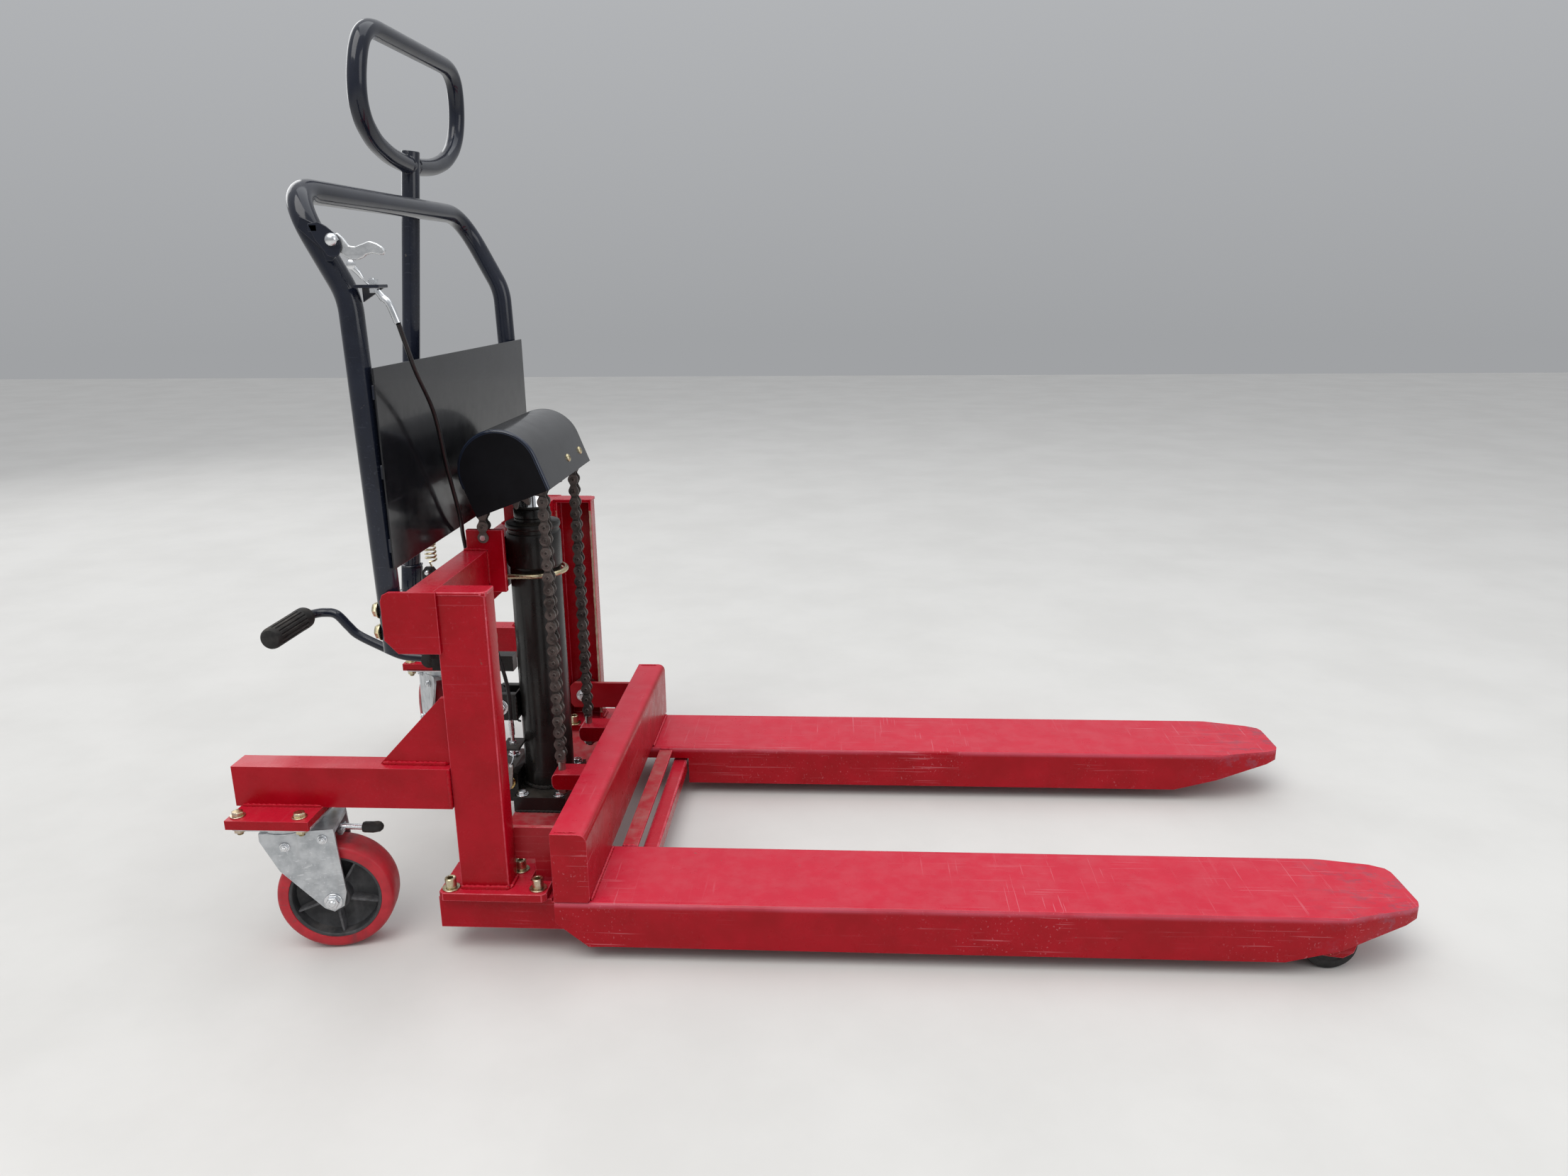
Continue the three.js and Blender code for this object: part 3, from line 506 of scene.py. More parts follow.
for tag, s in SIDES:
    w = Shape()
    # foot of the upright, cap seam, beam and outrigger seams
    w.weld([(-183.5, s * 289, 101.2), (-183.5, s * 323.5, 101.2)], 3.4)
    w.weld([(-183.5, s * 325.2, 101.2), (-113.5, s * 325.2, 101.2)], 4.2)
    w.weld([(-113.4, s * 289, 101.2), (-113.4, s * 324, 101.2)], 3.2)
    w.weld([(-184, s * 303.5, 281), (-184, s * 303.5, 374)], 2.6)
    w.weld([(-184, s * 312.7, 281), (-184, s * 312.7, 374)], 2.6)
    w.weld([(-280, s * 303.4, 281), (-188, s * 303.4, 281)], 3.4)
    w.weld([(-280, s * 312.8, 281), (-188, s * 312.8, 281)], 3.6)
    w.weld([(-184.6, s * 291, 223), (-184.6, s * 291, 279)], 2.6)
    w.weld([(-184.6, s * 327.5, 223), (-184.6, s * 327.5, 279)], 2.6)
    w.weld([(-476, s * 290.2, 222.6), (-364, s * 290.2, 222.6)], 2.8)
    w.weld([(-476, s * 327.8, 222.6), (-364, s * 327.8, 222.6)], 2.8)
    w.weld([(-218, s * 88.6, 527), (-184, s * 88.6, 527)], 2.6)
    w.weld([(-218, s * 99.4, 527), (-184, s * 99.4, 527)], 2.6)
    w.weld([(-182.6, s * 88.7, 474), (-182.6, s * 88.7, 524)], 2.4)
    w.weld([(-182.6, s * 99.3, 474), (-182.6, s * 99.3, 524)], 2.4)
    w.weld([(-182.2, s * 288.6, 448), (-182.2, s * 288.6, 519)], 2.6)
    w.weld([(-219.6, s * 323, 448), (-219.6, s * 323, 524)], 2.6)
    w.weld([(-181, s * 289, 88.6), (-62, s * 266, 88.4)][:1] + [(-181, s * 268.2, 88.3)], 2.4)
    w.weld([(-178, s * 267.6, 88.2), (-62, s * 267.6, 88.2)], 2.4)
    w.make("weld_beads_" + tag, "red", "chassis")
    # cap plate on top of the upright, with one corner cut off
    c = Shape()
    c.prism([(-184, 290.5 * s), (-184, 325.3 * s), (-121, 325.3 * s), (-113.6, 318 * s), (-113.6, 290.5 * s)], "z", 521.2, 526.4)
    c.make("upright_cap_" + tag, "red", "chassis", 1.6, seg=3)
    # pale streaked strips along the upright's flange edges
    g = Shape()
    for x0, x1, yy in ((-119.4, -114.7, 288.75), (-182.3, -177.7, 288.75)):
        zs = np.linspace(112, 505, 70)
        pts = [(x0 + random.uniform(0, 0.9), float(z)) for z in zs] + [(x1 - random.uniform(0, 0.9), float(z)) for z in zs[::-1]]
        g.prism(pts, "y", s * (yy - 0.15), s * (yy + 0.2))
    g.make("roller_track_" + tag, "pale_strip", "chassis")
    # base plate screws
    z = Shape()
    for x, y in (((-196.5, 326), (-75.3, 323), (-113, 274)) if tag == "near" else ((-196.5, 326), (-75.3, 323), (-163, 262))):
        z.socket((x, s * y, 100.4), (0, 0, 1), 7.8, 14.5, 12.2)
    z.make("base_screws_" + tag, "zinc", "chassis")
    # bolts through the handle frame's legs
    b = Shape()
    for zz in (468, 498):
        b.hexhead((-260.4, s * 309, zz), (-1, 0, 0), 9.6, 6.6, 12)
    b.make("frame_bolts_" + tag, "zinc", "chassis")
    # caster mounting: galvanised top plate, bolts and nuts
    p = Shape()
    rr = lambda x0, x1, y0, y1, r: arc(x1 - r, y1 - r, r, 0, 90, 5) + arc(x0 + r, y1 - r, r, 90, 180, 5) + arc(x0 + r, y0 + r, r, 180, 270, 5) + arc(x1 - r, y0 + r, r, 270, 360, 5)
    p.prism([(x, s * y) for x, y in rr(-474, -366, 248, 370, 9)], "z", 205.8, 209)
    p.prism([(x, s * y) for x, y in rr(-478, -362, 245, 372.8, 8)], "z", 208.9, 212.3)
    p.lathe([(0, 203), (30, 203), (34, 204.5), (36, 206.5), (36, 209)], 40, Matrix.Translation((-420, s * 309, 0)))
    p.make("caster_top_plate_" + tag, "galv", "chassis", 0.7)
    n = Shape()
    for x in (-465.7, -380.7):
        for y in (358, 258):
            n.hexhead((x, s * y, 222), (0, 0, 1), 8, 5.5, 10)
            n.nut((x, s * y, 205.9), (0, 0, -1), 8, 7, 4)
    n.make("caster_bolts_" + tag, "zinc", "chassis")
    # axle nut of the load roller
    a = Shape()
    a.nut((1004, s * 327.5, 36), (0, s, 0), 8.5, 3.6)
    a.make("load_axle_nut_" + tag, "brass", "chassis")

# ---------------------------------------------------------------- handle frame and panel
f = Shape()
path = fillet([(-245.5, -309, 442), (-252.5, -309, 773), (-255, -309, 893), (-318, -309, 1018), (-318, 309, 1018), (-255, 309, 893), (-252.5, 309, 773), (-245.5, 309, 442)],
              [0, 90, 70, 70, 90, 0], 14)
f.tube(resample(path, 24), 14.9, 32)
f.make("frame_tube", "blue", "chassis", node="handle_frame")
f = Shape()
for s in (-1, 1):
    f.tube([(-245.4, s * 309, 440.5), (-245.45, s * 309, 441.5), (-245.5, s * 309, 446)], [10, 14, 14.95], 28)
f.make("frame_end_plugs", "rubber", "chassis")
refine("front_panel", "black", 0.6, 2)
f = Shape()
for s in (-1, 1):
    for z in (585, 680, 779):
        f.box(-236.5, -231.9, s * 309 - 9, s * 309 + 9, z - 9, z + 9)
f.make("panel_pads", "blue", "chassis", 1.0)

# ---------------------------------------------------------------- cylinder, pump and U-bolt
c = Shape()
z = [(0, 113.4), (39.3, 113.4)] + [(39.5, 116), (39.5, 470), (39.2, 478.5), (40, 480)]
z += [(41.2, 481), (42, 482.5), (42, 533), (41.4, 534.4), (40, 535.4), (40, 540.4), (41.4, 541.6), (42, 543), (42, 548), (41, 549.6), (39, 550.3), (31, 550.6), (29.6, 551.2), (28, 552.4),
      (28, 556), (27.2, 557), (28, 558), (28, 570), (27, 571.6), (23.4, 571.9), (22.7, 571), (22.7, 562), (22.5, 480)]
c.lathe(z, 72, at((-140, 0, 0)))
c.make("cylinder_tube", "satin", "chassis", node="cylinder")
c = Shape()
c.lathe([(22.2, 571.2), (24.4, 571.2), (25.4, 572.6), (24.6, 574.4), (22.7, 575)], 48, at((-140, 0, 0)), closed=True)
c.make("wiper_seal", "rubber", "chassis")
c = Shape()
ring = [(-140 + 41.5 * math.cos(a), 41.5 * math.sin(a), 114.6) for a in np.linspace(0, 2 * math.pi, 120)]
c.weld(ring, 4.0)
c.weld([(-181.8, -22, 224.6), (-174, -28.6, 224.8)], 2.2)
c.weld([(-180, -29, 228), (-180, -29, 269)], 2.4)
c.weld([(-180, 27, 228), (-180, 27, 269)], 2.4)
c.weld([(-181, -74, 88.6), (-99, -74.5, 88.6)], 2.6)
c.weld([(-98, -73, 88.6), (-98, 73, 88.6)], 2.6)
c.make("pump_welds", "satin", "chassis")
u = Shape()
u.tube([(-184, -46.6, 472), (-150, -46.6, 472)] + [(-140 + 46.6 * math.cos(a), 46.6 * math.sin(a), 472) for a in np.linspace(-math.pi / 2, math.pi / 2, 40)] + [(-150, 46.6, 472), (-184, 46.6, 472)], 4, 16)
for s in (-1, 1):
    u.nut((-219.2, s * 46.6, 472), (-1, 0, 0), 7.4, 6, 5, 9)
u.make("u_bolt_wire", "zinc", "chassis", node="u_bolt")
refine("pump_base", "satin", 2.2, 3)
b = Shape()
for x in (-170, -110):
    for s in (-1, 1):
        b.hexhead((x, s * 63, 113), (0, 0, 1), 7.5, 5, 10)
b.hexhead((-205, 20, 145), (0, 0, 1), 8, 5, 10)
b.hexhead((-286, -26, 145), (0, 0, 1), 7, 4.5, 9)
b.hexhead((-230, -45, 122), (0, -1, 0), 9, 6)
b.hexhead((-262, -45, 112), (0, -1, 0), 7, 5)
b.make("pump_plugs", "bright", "chassis")
b = Shape()
b.lathe([(8.3, 233), (17.2, 233), (18, 234), (18, 239), (17, 241), (13, 243.5), (9, 244), (8.6, 243)], 36, Matrix.Translation((-251, 18, 0)), closed=True)
b.make("barrel_gland", "bright", "chassis")
refine("pump_clevis", "satin", 1.2, 2)
b = Shape()
b.hexhead((-207, -28, 249), (0, -1, 0), 11.5, 6.4, 14)
b.nut((-207, 26, 249), (0, 1, 0), 11.5, 5.4, 3, 14)
b.make("pivot_bolt", "bright", "chassis")
v = Shape()
v.lathe([(0, 45.2), (11, 45.2, 1), (11, 49, 1), (8, 49.4), (8, 51.4), (7.2, 52), (8, 52.6), (8, 56), (7, 56.7), (0, 56.7)], 30, at((-196, 0, 128), (0, -1, 0)))
v.make("valve_stem", "bright", "chassis", node="release_valve")
v = Shape()
v.lathe([(8.2, 49.4), (11.6, 49.4), (12.2, 50), (12.2, 51.6), (11.6, 52.2), (8.2, 52.2)], 36, at((-196, 0, 128), (0, -1, 0)), closed=True)
v.make("valve_ring", "brass", "chassis")
v = Shape()
kn = [(0, 45), (9, 45), (12.6, 46.5)] + [(13.4 if k % 2 else 12.6, 47.5 + k * 0.7) for k in range(12)] + [(11.4, 57), (7, 58.4), (0, 58.8)]
v.lathe(kn, 30, at((-238, 0, 104), (0, -1, 0)))
v.make("valve_knob", "chrome", "chassis")
refine("valve_lever", "steel", 0.7, 2)
v = Shape()
v.hexhead((-196, -61, 128), (0, -1, 0), 6, 4)
v.tube([(-186, -62.8, 162.5), (-186, -55.4, 162.5)], 2.6, 14)
v.make("valve_lever_pin", "bright", "valve_lever")
refine("cable_plate", "satin", 0.6, 2)

# ---------------------------------------------------------------- release lever and cable
refine("lever_bracket", "blue", 0.7, 2)
refine("cable_bracket", "blue", 0.7, 2)
lv = Shape()
lv.prism([(-258, 964), (-250, 966), (-244, 960), (-238, 951.5), (-231, 950.5), (-224.3, 952.8), (-213, 956.6), (-204, 953.4), (-198, 949.4), (-195.2, 945.2), (-197, 940.8), (-203, 940.2), (-210, 942), (-217.5, 941),
          (-222, 937.6), (-228.8, 934.9), (-236, 934.9), (-242, 937.5), (-248, 942), (-258, 950), (-263, 957)], "y", -335, -329)
lv.make("lever_blade", "alloy", "release_lever", 1.8, 20, 3, node="release_lever")
r = Shape()
dome = [(0, 0), (8, 0, 1), (8, 3.6, 1), (7.4, 4.4), (6.6, 6.2), (4.6, 8.0), (2.2, 8.9), (0, 9.1)]
r.lathe([(0, 0), (5, 0), (5.4, 0.5), (5.4, 2), (4, 3), (0, 3.2)], 24, at((-237, -335.2, 930), (0, -1, 0)))
r.tube([(-236, -332, 926), (-231.5, -330.5, 921), (-228, -328, 914)], [3.6, 3.4, 2.2], 16)
r.make("lever_fittings", "bright", "release_lever")
r = Shape()
r.prism([(-283, 976), (-270, 978), (-261, 973), (-252, 965), (-246.5, 957), (-246, 949), (-249, 941), (-256, 937.5), (-263, 940), (-269, 949), (-276, 958)], "y", -336, -338.4)
r.box(-283, -272, -338.4, -324.8, 967, 975)
r.make("lever_cheek", "blue", "chassis", 0.8)
r = Shape()
r.lathe(dome, 30, at((-255, -338.3, 958), (0, -1, 0)))
r.make("lever_bolt", "bright", "chassis")
r = Shape()
r.tube(spline([(-228.5, -328.2, 915), (-225, -326, 909), (-219, -323.5, 903)], 6), 0.9, 8)
for zz, rr_, hh in ((907.2, 6.4, 5.4), (902.8, 6.4, -5)):
    r.lathe([(0, 0), (rr_, 0, 1), (rr_, abs(hh), 1), (rr_ * 0.8, abs(hh) + 0.3), (0, abs(hh) + 0.3)], 24, at((-218, -322.5, zz), (0, 0, 1 if hh > 0 else -1)))
r.tube([(-219.5, -322.5, 914), (-217.4, -322.4, 903), (-212.5, -322.1, 897), (-207.5, -322.1, 890)], [3.6, 3.8, 4.0, 4.6], 18)
r.tube(spline([(-208, -322.1, 891.6), (-201, -323, 884), (-193.4, -322.2, 862)], 6), 4.3, 18)
r.tube([(-184.5, -47.6, 236), (-184.2, -47.4, 226), (-184, -47.2, 210)], [4.2, 4.4, 4.0], 18)
r.tube([(-184, -47.2, 211), (-184, -47.2, 176)], 3.1, 16)
for zz, d in ((193.2, 1), (188.8, -1)):
    r.lathe([(0, 0), (6.4, 0, 1), (6.4, 5, 1), (5, 5.4), (0, 5.4)], 24, at((-184, -47.2, zz), (0, 0, d)))
r.tube([(-184, -47.2, 177), (-185, -53, 168), (-186, -58.8, 163)], 0.9, 8)
r.make("cable_adjusters", "bright", "chassis")
route = [(-193, -322, 862), (-194, -300, 832), (-195, -275, 800), (-203, -205, 740), (-212, -152, 660), (-217, -104, 580), (-223.5, -80, 545), (-224.5, -64, 495), (-224, -62, 438),
         (-205, -60, 394), (-192, -54, 337), (-185, -48, 287), (-184.4, -47.6, 232)]
r = Shape()
r.tube(spline(route, 10), 3.0, 14)
r.make("cable_sheath", "sheath", "chassis", node="release_cable")

# ---------------------------------------------------------------- return spring
r = Shape()
turns, z0, z1 = 17, 484, 590
coil = [(-308, 3, 470), (-308, 3, 473), (-308, 1, 477)]
for i in range(turns * 16 + 1):
    a = 2 * math.pi * i / 16
    coil.append((-308 + 8 * math.sin(a), 3 - 8 * math.cos(a), z0 + (z1 - z0) * i / (turns * 16)))
coil += [(-308, 1, 596), (-308, 3, 600), (-308, 4, 606), (-308, 2, 611), (-308, -3, 612)]
r.tube(coil, 1.45, 8)
sp = r.make("spring_coil", "zinc", None, node="return_spring", merge=False)
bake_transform(sp)

# ---------------------------------------------------------------- ram, sprockets and cover
r = Shape()
r.lathe([(0, 306), (21.6, 306), (22, 307), (22, 600), (21.2, 602), (21.2, 604), (22, 606), (22, 612), (0, 612)], 64, at((-140, 0, 0)))
r.make("rod_chrome", "chrome", "ram", node="piston_rod")
refine("rod_head", "satin", 2.0, 3)
r = Shape()
r.lathe([(0, -127), (11, -127), (12, -126), (12, 126), (11, 127), (0, 127)], 36, at((-140, 0, 637), (0, 1, 0)))
r.make("axle_bar", "steel", "ram", node="sprocket_axle")
K = dict(x=-143, z=644, c=0.935, s=0.353, r=59.3, u0=-2.2, n0=6, low=-44)


def tilt(u, n):
    return (K["x"] + K["c"] * u - K["s"] * n, K["z"] + K["s"] * u + K["c"] * n)


def arch(r, a0, a1, n=40):
    return [tilt(K["u0"] + r * math.cos(math.radians(a0 + (a1 - a0) * i / n)), K["n0"] + r * math.sin(math.radians(a0 + (a1 - a0) * i / n))) for i in range(n + 1)]


r = Shape()
outer = [tilt(K["u0"] + 59.3, K["low"])] + arch(59.3, 0, 180) + [tilt(K["u0"] - 59.3, 0.5)]
inner = [tilt(K["u0"] - 57.4, 0.5)] + arch(57.4, 180, 0) + [tilt(K["u0"] + 57.4, K["low"])]
r.prism(outer + inner, "y", -128.4, 128.4)
# a folded lip along the front edge
r.prism([tilt(57.2, -44), tilt(57.2, -42.2), tilt(49, -42.2), tilt(48.6, -44)], "y", -129.6, 129.6)
r.make("cover_sheet", "black", "ram", 0.5, node="chain_cover")
r = Shape()
rows = [(-130.95, -4.6), (-130.7, -3.2), (-129.9, -1.7), (-128.6, -0.6), (-126.6, 0.0), (126.6, 0.0), (128.6, -0.6), (129.9, -1.7), (130.7, -3.2), (130.95, -4.6)]
skin_v, skin_f = [], []
for y_, dr in rows:
    line = [tilt(K["u0"] + 59.6 + dr, K["low"] + 0.2)] + arch(59.6 + dr, 0, 180, 48) + [tilt(K["u0"] - 59.6 - dr, 0.5)]
    skin_v += [(p_[0], y_, p_[1]) for p_ in line]
nl = len(line)
fold_f = []
for a_ in range(len(rows) - 1):
    (skin_f if a_ == 4 else fold_f).extend((a_ * nl + i, a_ * nl + i + 1, (a_ + 1) * nl + i + 1, (a_ + 1) * nl + i) for i in range(nl - 1))
# the rounded fold rows get the painted highlight material
for name_, faces_, m_ in (("cover_skin", skin_f, "black"), ("cover_folds", fold_f, "fold_highlight")):
    used = sorted({i for f_ in faces_ for i in f_})
    new = {o_: k_ for k_, o_ in enumerate(used)}
    q_ = Shape()
    q_.add([skin_v[i] for i in used], [tuple(new[i] for i in f_) for f_ in faces_])
    q_.make(name_, m_, "ram")
for y_, dr in (rows[0], rows[-1]):
    r.add([(p_[0], y_, p_[1]) for p_ in [tilt(K["u0"] + 59.6 + dr, K["low"] + 0.2)] + arch(59.6 + dr, 0, 180, 48) + [tilt(K["u0"] - 59.6 - dr, K["low"] + 0.2)]], [tuple(range(51))])
    r.prism([tilt(K["u0"] + 57, K["low"])] + arch(57, 0, 180) + [tilt(K["u0"] - 57, K["low"])], "y", y_ * 0.985, y_ * 0.9985)
r.make("cover_ends", "end", "ram")
r = Shape()
for y in (17, 93):
    p = tilt(57.2, -20)
    r.lathe([(0, 0), (6, 0), (6.4, 0.5), (5.6, 2.2), (3.6, 3.4), (2.2, 3.6), (1.9, 3.4, 1), (1.9, 2.0, 1), (0, 1.9)], 30, at((p[0], y, p[1]), (0.935, 0, 0.353)))
r.make("cover_screws", "zinc", "ram")

PITCH, R0 = 19.05, 45.81
for tag, s in SIDES:
    g = Shape()
    pts = []
    for k in range(15):
        a = k * 24
        pts += [(-140 + rr_ * math.cos(math.radians(a + da)), 637 + rr_ * math.sin(math.radians(a + da))) for da, rr_ in
                ((-5.5, 41.4), (-2.5, 39.4), (2.5, 39.4), (5.5, 41.4), (8.6, 46.8), (10.8, 50.0), (13.2, 50.0), (15.4, 46.8))]
    g.prism(pts, "y", s * 94 - 3, s * 94 + 3)
    g.lathe([(12.4, -16), (21, -16), (22, -15), (22, -3.2), (34, -3.2), (34, 3.2), (22, 3.2), (22, 15), (21, 16), (12.4, 16)], 36, at((-140, s * 94, 637), (0, 1, 0)), closed=True)
    g.make("sprocket_teeth_" + tag, "chain", "sprocket_" + tag, 0.4, node="sprocket_" + tag)


def link(shape, p, q, y0, y1, r=8.2, waist=4.5):
    d = Vector((q[0] - p[0], q[1] - p[1]))
    L, an = d.length, math.atan2(d.y, d.x)
    poly = arc(0, 0, r, 72, 288, 14) + [(L / 2, -waist)] + arc(L, 0, r, -108, 108, 14) + [(L / 2, waist)]
    ca, sa = math.cos(an), math.sin(an)
    shape.prism([(p[0] + x * ca - z_ * sa, p[1] + x * sa + z_ * ca) for x, z_ in poly], "y", y0, y1)


def chain(shape, pts, y):
    for i, (p, q) in enumerate(zip(pts, pts[1:])):
        a, b = (4.4, 6.3) if i % 2 else (6.6, 8.5)
        for s in (-1, 1):
            link(shape, p, q, y + s * a, y + s * b)
    for p in pts:
        shape.lathe([(0, -9.6), (1.7, -9.6), (1.9, -10.2), (2.9, -10.2), (3.5, -9.4), (3.5, 9.4), (2.9, 10.2), (1.9, 10.2), (1.7, 9.6), (0, 9.6)], 16, at((p[0], y, p[1]), (0, 1, 0)))
        shape.lathe([(0, -4.3), (5.6, -4.3), (5.9, -4), (5.9, 4), (5.6, 4.3), (0, 4.3)], 16, at((p[0], y, p[1]), (0, 1, 0)))


for tag, s in SIDES:
    g = Shape()
    pts = [(-140 + R0, 637 - PITCH * k) for k in range(23, 0, -1)] + [(-140 + R0 * math.cos(math.radians(a)), 637 + R0 * math.sin(math.radians(a))) for a in range(0, 145, 24)]
    chain(g, pts, s * 94)
    o = g.make("front_chain_" + tag, "chain", None, node="chain_front_" + tag, merge=False)
    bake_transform(o)
    g = Shape()
    chain(g, [(-186, 546)] + [(-186, 676 - PITCH * k) for k in range(6, -1, -1)], s * 94)
    g.make("rear_chain_" + tag, "chain", "chassis", node="chain_rear_" + tag, merge=False)
    g = Shape()
    for t_ in (-1, 1):
        g.tube([(-186, s * 94 + t_ * 8.4, 546), (-186, s * 94 + t_ * 11.5, 546)], [4.4, 4.0], 16)
    g.make("anchor_pins_" + tag, "bright", "chassis")

# ---------------------------------------------------------------- carriage
for tag, s in SIDES:
    refine("fork_" + tag, "red_fork", 2.8, 4, 24)
    refine("roller_bracket_" + tag, "red_dusty", 1.2, 2)
    g = Shape()
    k = 6
    g.prism([(-107, 156), (-105, 150), (-100, 146.4), (-7, 146.4), (-7, 173), (-100, 173), (-105, 171), (-107, 166)], "y", s * 72.4, s * 113.6)
    g.make("lug_block_" + tag, "red", "carriage", 1.4, node="chain_lug_" + tag)
    g = Shape()
    g.nut((-94, s * 94, 146.3), (0, 0, -1), 11, 8.5, 4, 13)
    g.tube([(-94, s * 94, 172), (-94, s * 94, 187)], 5.8, 20)
    # fork end that takes the first link
    g.prism(arc(-94.2, 198.8, 6.4, 0, 180, 8) + [(-100.6, 184), (-87.8, 184)], "y", s * 94 - 3.9, s * 94 + 3.9)
    g.make("lug_stud_" + tag, "steel", "carriage", 0.3)
    g = Shape()
    g.lathe([(8.2, -11.5), (15, -11.5), (15.6, -10.4), (22.6, -10.4), (23.4, -11.5), (24.4, -11.3), (25.5, -9.8), (25.5, 9.8), (24.4, 11.3), (23.4, 11.5), (22.6, 10.4), (15.6, 10.4), (15, 11.5),
             (8.2, 11.5)], 56, at((-148.5, s * 302.5, 150), (0, 1, 0)), closed=True)
    g.make("guide_wheel_" + tag, "steel", "guide_roller_" + tag, node="guide_roller_" + tag)
    g = Shape()
    g.hexhead((-148.5, s * 280, 150), (0, -s, 0), 9, 6, 12)
    g.make("roller_pin_head_" + tag, "bright", "carriage")
    w = Shape()
    w.weld([(-49, s * 179.6, 90.2), (-1, s * 179.6, 90.2)], 2.6)
    w.weld([(0.6, s * 184, 90.6), (0.6, s * 334, 90.6)], 3.0)
    w.weld([(-50, s * 279.5, 98), (-50, s * 279.5, 174)], 2.6)
    w.weld([(-106, s * 72, 174)] + [(-106, s * 72, 174)], 0.2)
    w.weld([(-50.6, s * 115, 148), (-50.6, s * 115, 172)], 2.2)
    w.weld([(13, s * 177.4, 88), (35, s * 177.4, 88)], 2.6)
    w.weld([(-46, s * 333.6, 192.2), (-14, s * 333.6, 192.6)], 1.6)
    w.make("carriage_welds_" + tag, "red_fork", "carriage")
refine("carriage_bar", "red_fork", 2.8, 4, 24)
refine("cross_strip", "red_dusty", 1.2, 3)

# ---------------------------------------------------------------- rocker, pump handle and pedal
refine("rocker", "satin", 1.5, 3)
g = Shape()
g.tube([(-312, -12, 467), (-312, -11, 467), (-312, 13, 467), (-312, 14, 467)], [2.6, 3.6, 3.6, 2.6], 18)
g.lathe([(3.4, -1.1), (6.2, -1.1), (6.6, -0.6), (6.6, 0.6), (6.2, 1.1), (3.4, 1.1)], 24, at((-312, 9.4, 467), (0, 1, 0)), closed=True)
for x in (-428, -400):
    for y in (157, 187):
        g.hexhead((x, y, 384), (0, 0, 1), 5.6, 3.8, 7.2)
g.make("rocker_fittings", "bright", "rocker")
g = Shape()
g.weld([(-322, 2.4, 326), (-304, 2.4, 326)], 2.4)
g.weld([(-322, 6.8, 326), (-304, 6.8, 326)], 2.4)
g.weld([(-330, 28, 329), (-317, 28, 325)], 2.4)
g.weld([(-325, 159.4, 327), (-345, 159.4, 345)], 2.4)
g.weld([(-432, 159.6, 370.5), (-396, 159.6, 370.5)], 2.2)
g.weld([(-341, 18 + 8, 322), (-343, 18, 325), (-341, 10, 322)], 2.2)
g.make("rocker_welds", "satin", "rocker")
lean = 71 / 725


def along(z):
    return -343 + lean * (z - 1105)


g = Shape()
g.tube([(along(z_), 172, z_) for z_ in (384.4, 420, 600, 800, 1000, 1106.4, 1107.2, 1107.6)], [14, 14, 14, 14, 14, 14, 13.6, 12.8], 40)
g.make("handle_tube", "blue", "rocker", node="pump_handle")
g = Shape()
g.tube([(along(z_), 172, z_) for z_ in (384.2, 386, 430, 432.6)], [18, 18, 18, 16.6], 40)
g.prism([(-438, 152), (-435, 149), (-393, 149), (-390, 152), (-390, 192), (-393, 195), (-435, 195), (-438, 192)], "z", 378.2, 384)
g.make("handle_socket", "blue", "rocker", 0.9)
g = Shape()
g.weld([(along(433) + 16.2 * math.cos(a), 172 + 16.2 * math.sin(a), 433) for a in np.linspace(0, 2 * math.pi, 40)], 2.2)
g.weld([(along(385) + 20 * math.cos(a), 172 + 20 * math.sin(a), 385.4) for a in np.linspace(0, 2 * math.pi, 44)], 2.6)
for t_ in (-1, 1):
    g.weld([(along(1087) + 12.8 * math.cos(a), 172 + t_ * 13.9, 1087 + 12.8 * math.sin(a)) for a in np.linspace(0, 2 * math.pi, 34)], 2.4)
g.make("handle_welds", "blue", "rocker")
half = [(0, -16), (50, -13.5), (90, -9), (120, -2.5), (145, 5), (166, 15.5), (184, 28), (197, 44), (203.6, 60), (206, 80), (203.6, 102), (197, 123), (186, 138.5), (168, 149), (146, 153.3), (120, 154), (60, 154)]
loop = half + [(0, 154)] + [(-y, w_) for y, w_ in half[::-1][:-1]]
n = len(loop)
P3 = [Vector((along(1102 + w_), 180 + y, 1102 + w_)) for y, w_ in loop]
sm = []
for i in range(n):
    a, b, c_, d = P3[i - 1], P3[i], P3[(i + 1) % n], P3[(i + 2) % n]
    for k in range(5):
        t = k / 5
        sm.append(0.5 * ((2 * b) + (c_ - a) * t + (2 * a - 5 * b + 4 * c_ - d) * t * t + (3 * b - a - 3 * c_ + d) * t ** 3))
g = Shape()
g.tube(sm, 13.5, 32, closed=True)
g.make("handle_loop", "blue", "rocker")
g = Shape()
g.tube(spline([(-521, -117, 391), (-521, -60, 391), (-521, -4, 391), (-514, 11, 391.6), (-500, 18, 392), (-480, 18, 389), (-462, 18, 369), (-447, 18, 354), (-409, 18, 334), (-378, 18, 320), (-343.6, 18, 316)], 7), 7.4, 24)
g.make("pedal_rod", "blue", "rocker", node="pedal_bar")
g = Shape()
prof = [(0, -59), (9, -59), (14, -57.8), (16.4, -54.5), (17.0, -50.5), (17.0, -50), (17.2, 33), (17.0, 33.6), (17.1, 35), (17.5, 38), (17.5, 48), (17.2, 53.5), (15.8, 57.2), (13.4, 58.9), (7.9, 59), (7.9, -57), (0, -57)]
grip_v, grip_f, gs, gn = [], [], 96, len(prof)
for k in range(gs):
    th = 2 * math.pi * (k + 0.5) / gs
    for i, (r_, a_) in enumerate(prof):
        r_ -= 1.7 if (i in (5, 6) and k % 6 in (0, 1)) else 0.0
        grip_v.append((r_ * math.cos(th), r_ * math.sin(th), a_))
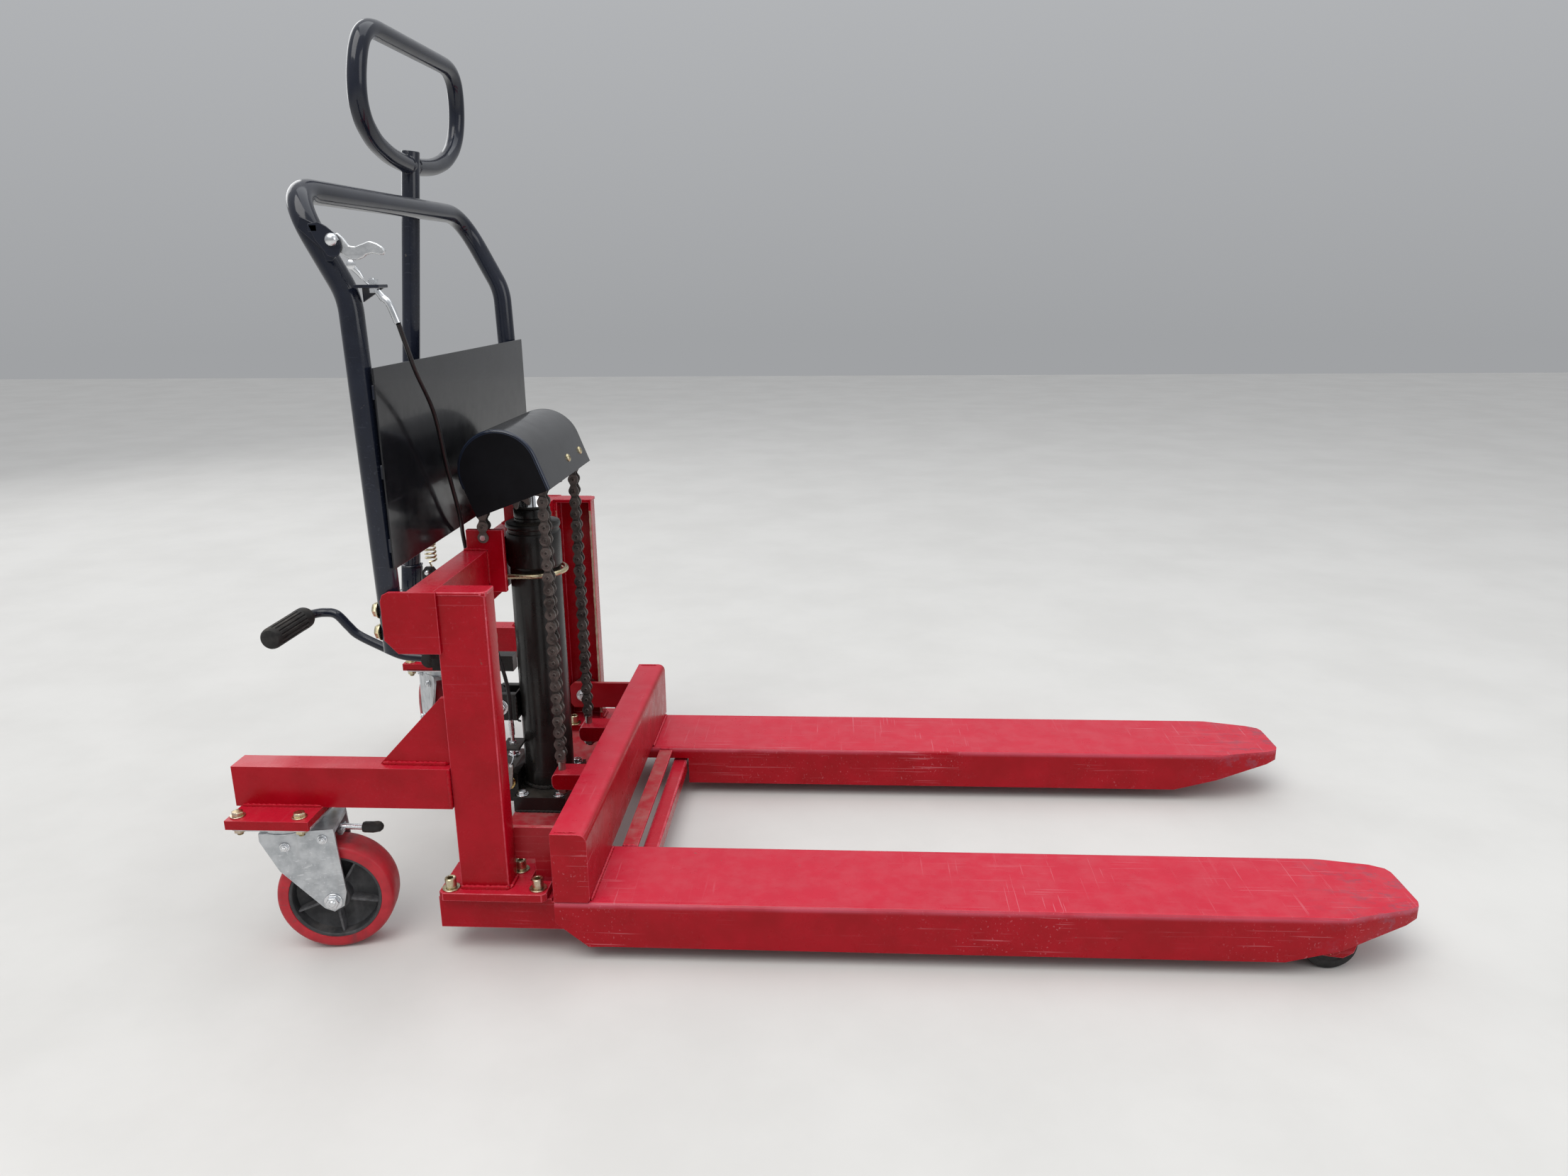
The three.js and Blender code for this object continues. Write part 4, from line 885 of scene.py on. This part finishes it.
for k in range(gs):
    for i in range(gn - 1):
        k2 = (k + 1) % gs
        grip_f.append((k * gn + i, k2 * gn + i, k2 * gn + i + 1, k * gn + i + 1))
g.add(grip_v, grip_f, at((-521, -61, 391), (0, 1, 0)))
g.make("pedal_sleeve", "rubber", "rocker", node="pedal_grip")
g = Shape()
g.lathe([(0, 172), (7.4, 172), (8, 173), (8, 288), (7.2, 289), (7.2, 290.5), (8, 291.5), (8, 295), (7, 296), (0, 296)], 36, Matrix.Translation((-250, 18, 0)))
g.make("plunger_rod", "chrome", "plunger", node="plunger")

# ---------------------------------------------------------------- running gear
for tag, s in SIDES:
    g = Shape()
    yc = 297.75
    w_ = 21.5
    g.lathe([(8.3, -w_), (12, -w_), (14, -w_ + 1), (24, -w_ + 1.6), (26, -w_), (33.6, -w_), (35, -w_ + 0.5), (36, -w_ + 2.2), (36, w_ - 2.2), (35, w_ - 0.5), (33.6, w_), (26, w_), (24, w_ - 1.6), (14, w_ - 1),
             (12, w_), (8.3, w_)], 64, at((1004, s * yc, 36), (0, 1, 0)), closed=True)
    g.make("load_tread_" + tag, "rubber", "load_roller_" + tag, node="load_roller_" + tag)
for tag, y, deg in (("near", -309, 10), ("far", 309, 127)):
    put = Matrix.Translation((-420, y, 0)) @ Matrix.Rotation(math.radians(deg), 4, "Z")
    fb, wb, bb = "caster_fork_" + tag, "caster_wheel_" + tag, "caster_brake_" + tag
    wheel = put @ Matrix.Translation((52, 0, 80)) @ Matrix.Rotation(-math.pi / 2, 4, "X")
    g = Shape()
    g.lathe([(63, -24.4), (72, -25), (75, -24.4), (77.6, -22), (79.2, -17), (79.9, -9), (80, 0), (79.9, 9), (79.2, 17), (77.6, 22), (75, 24.4), (72, 25), (63, 24.4), (62, 22), (62, -22)],
            96, wheel @ Matrix.Scale(1.0 if tag == "near" else 0.993, 4), closed=True)
    g.make("caster_tread_" + tag, "tread", wb, node=wb)
    g = Shape()
    g.lathe([(6.6, -27), (12, -27), (12.6, -26), (18, -26), (20, -24), (21.5, -9), (26, -6.5), (50, -6), (56, -9), (58, -22), (59.4, -23.4), (62.4, -23.6), (63, -22), (63, 22), (62.4, 23.6), (59.4, 23.4), (58, 22), (56, 9),
             (50, 6), (26, 6.5), (21.5, 9), (20, 24), (18, 26), (12.6, 26), (12, 27), (6.6, 27)], 72, wheel, closed=True)
    for k in range(5):
        rot = wheel @ Matrix.Rotation(math.radians(72 * k + 14), 4, "Z")
        for t_ in (-1, 1):
            V = [(19, -3, 0), (58, -2.4, 0), (58, 2.4, 0), (19, 3, 0), (19, -1.9, t_ * 21), (58, -1.5, t_ * 18), (58, 1.5, t_ * 18), (19, 1.9, t_ * 21)]
            g.add(V, [(0, 1, 2, 3), (4, 5, 6, 7), (0, 1, 5, 4), (1, 2, 6, 5), (2, 3, 7, 6), (3, 0, 4, 7)], rot)
    g.make("caster_core_" + tag, "core", wb, 0.5)
    refine(fb, "galv", 2.4, 3, 24)
    g = Shape()
    top = put
    g.lathe([(0, 208.4), (34, 208.4), (38, 206), (39.4, 202), (39.4, 199), (37, 196), (36, 192), (41, 190.2), (41, 189.6), (0, 189.6)], 48, top)
    g.make("swivel_head_" + tag, "galv", fb)
    g = Shape()
    for t_ in (-1, 1):
        d = put.to_3x3() @ Vector((0, t_, 0))
        g.nut(put @ Vector((52, t_ * 34, 80)), d, 9.2, 5.6, 1.6, 12.4)
        g.nut(put @ Vector((-2, t_ * 34, 168)), d, 5.6, 3.4, 2, 7)
        g.nut(put @ Vector((48, t_ * 34, 176)), d, 5.6, 3.4, 2, 7)
    g.make("caster_nuts_" + tag, "bright", fb)
    g = Shape()
    bp = [put @ Vector(p) for p in ((62, 0, 176.6), (72, 0, 176.4), (84, 0, 175.2), (97, 0, 173.6))]
    g.tube(bp, [4.4, 4.2, 4.0, 4.0], 20)
    g.tube([put @ Vector((66.5, -12.4, 174)), put @ Vector((66.5, 12.4, 174))], 4.2, 20)
    g.make("brake_rod_" + tag, "bright", bb)
    g = Shape()
    bp = [put @ Vector(p) for p in ((93, 0, 174.1), (94, 0, 174), (97, 0, 173.8), (108, 0, 172.8), (116, 0, 173.4), (119.6, 0, 174.4), (121.6, 0, 175))]
    g.tube(bp, [4.4, 6.8, 7.8, 8.0, 7.6, 5.6, 2.2], 24)
    g.make("brake_grip_" + tag, "rubber", bb, node=bb)

# ---------------------------------------------------------------- floor
bm = bmesh.new()
bmesh.ops.create_grid(bm, x_segments=2, y_segments=2, size=9)
me = bpy.data.meshes.new("floor")
bm.to_mesh(me)
bm.free()
floor = bpy.data.objects.new("floor", me)
bpy.context.scene.collection.objects.link(floor)
floor.location = (0, 0, -0.0005)
fm = mat("pale_floor", (0.62, 0.61, 0.59), (0.66, 0.65, 0.63), (0.7, 0.85), scale=3, bump=0.05, bump_scale=120, spec=0.3)
me.materials.append(fm)

bpy.context.view_layer.update()
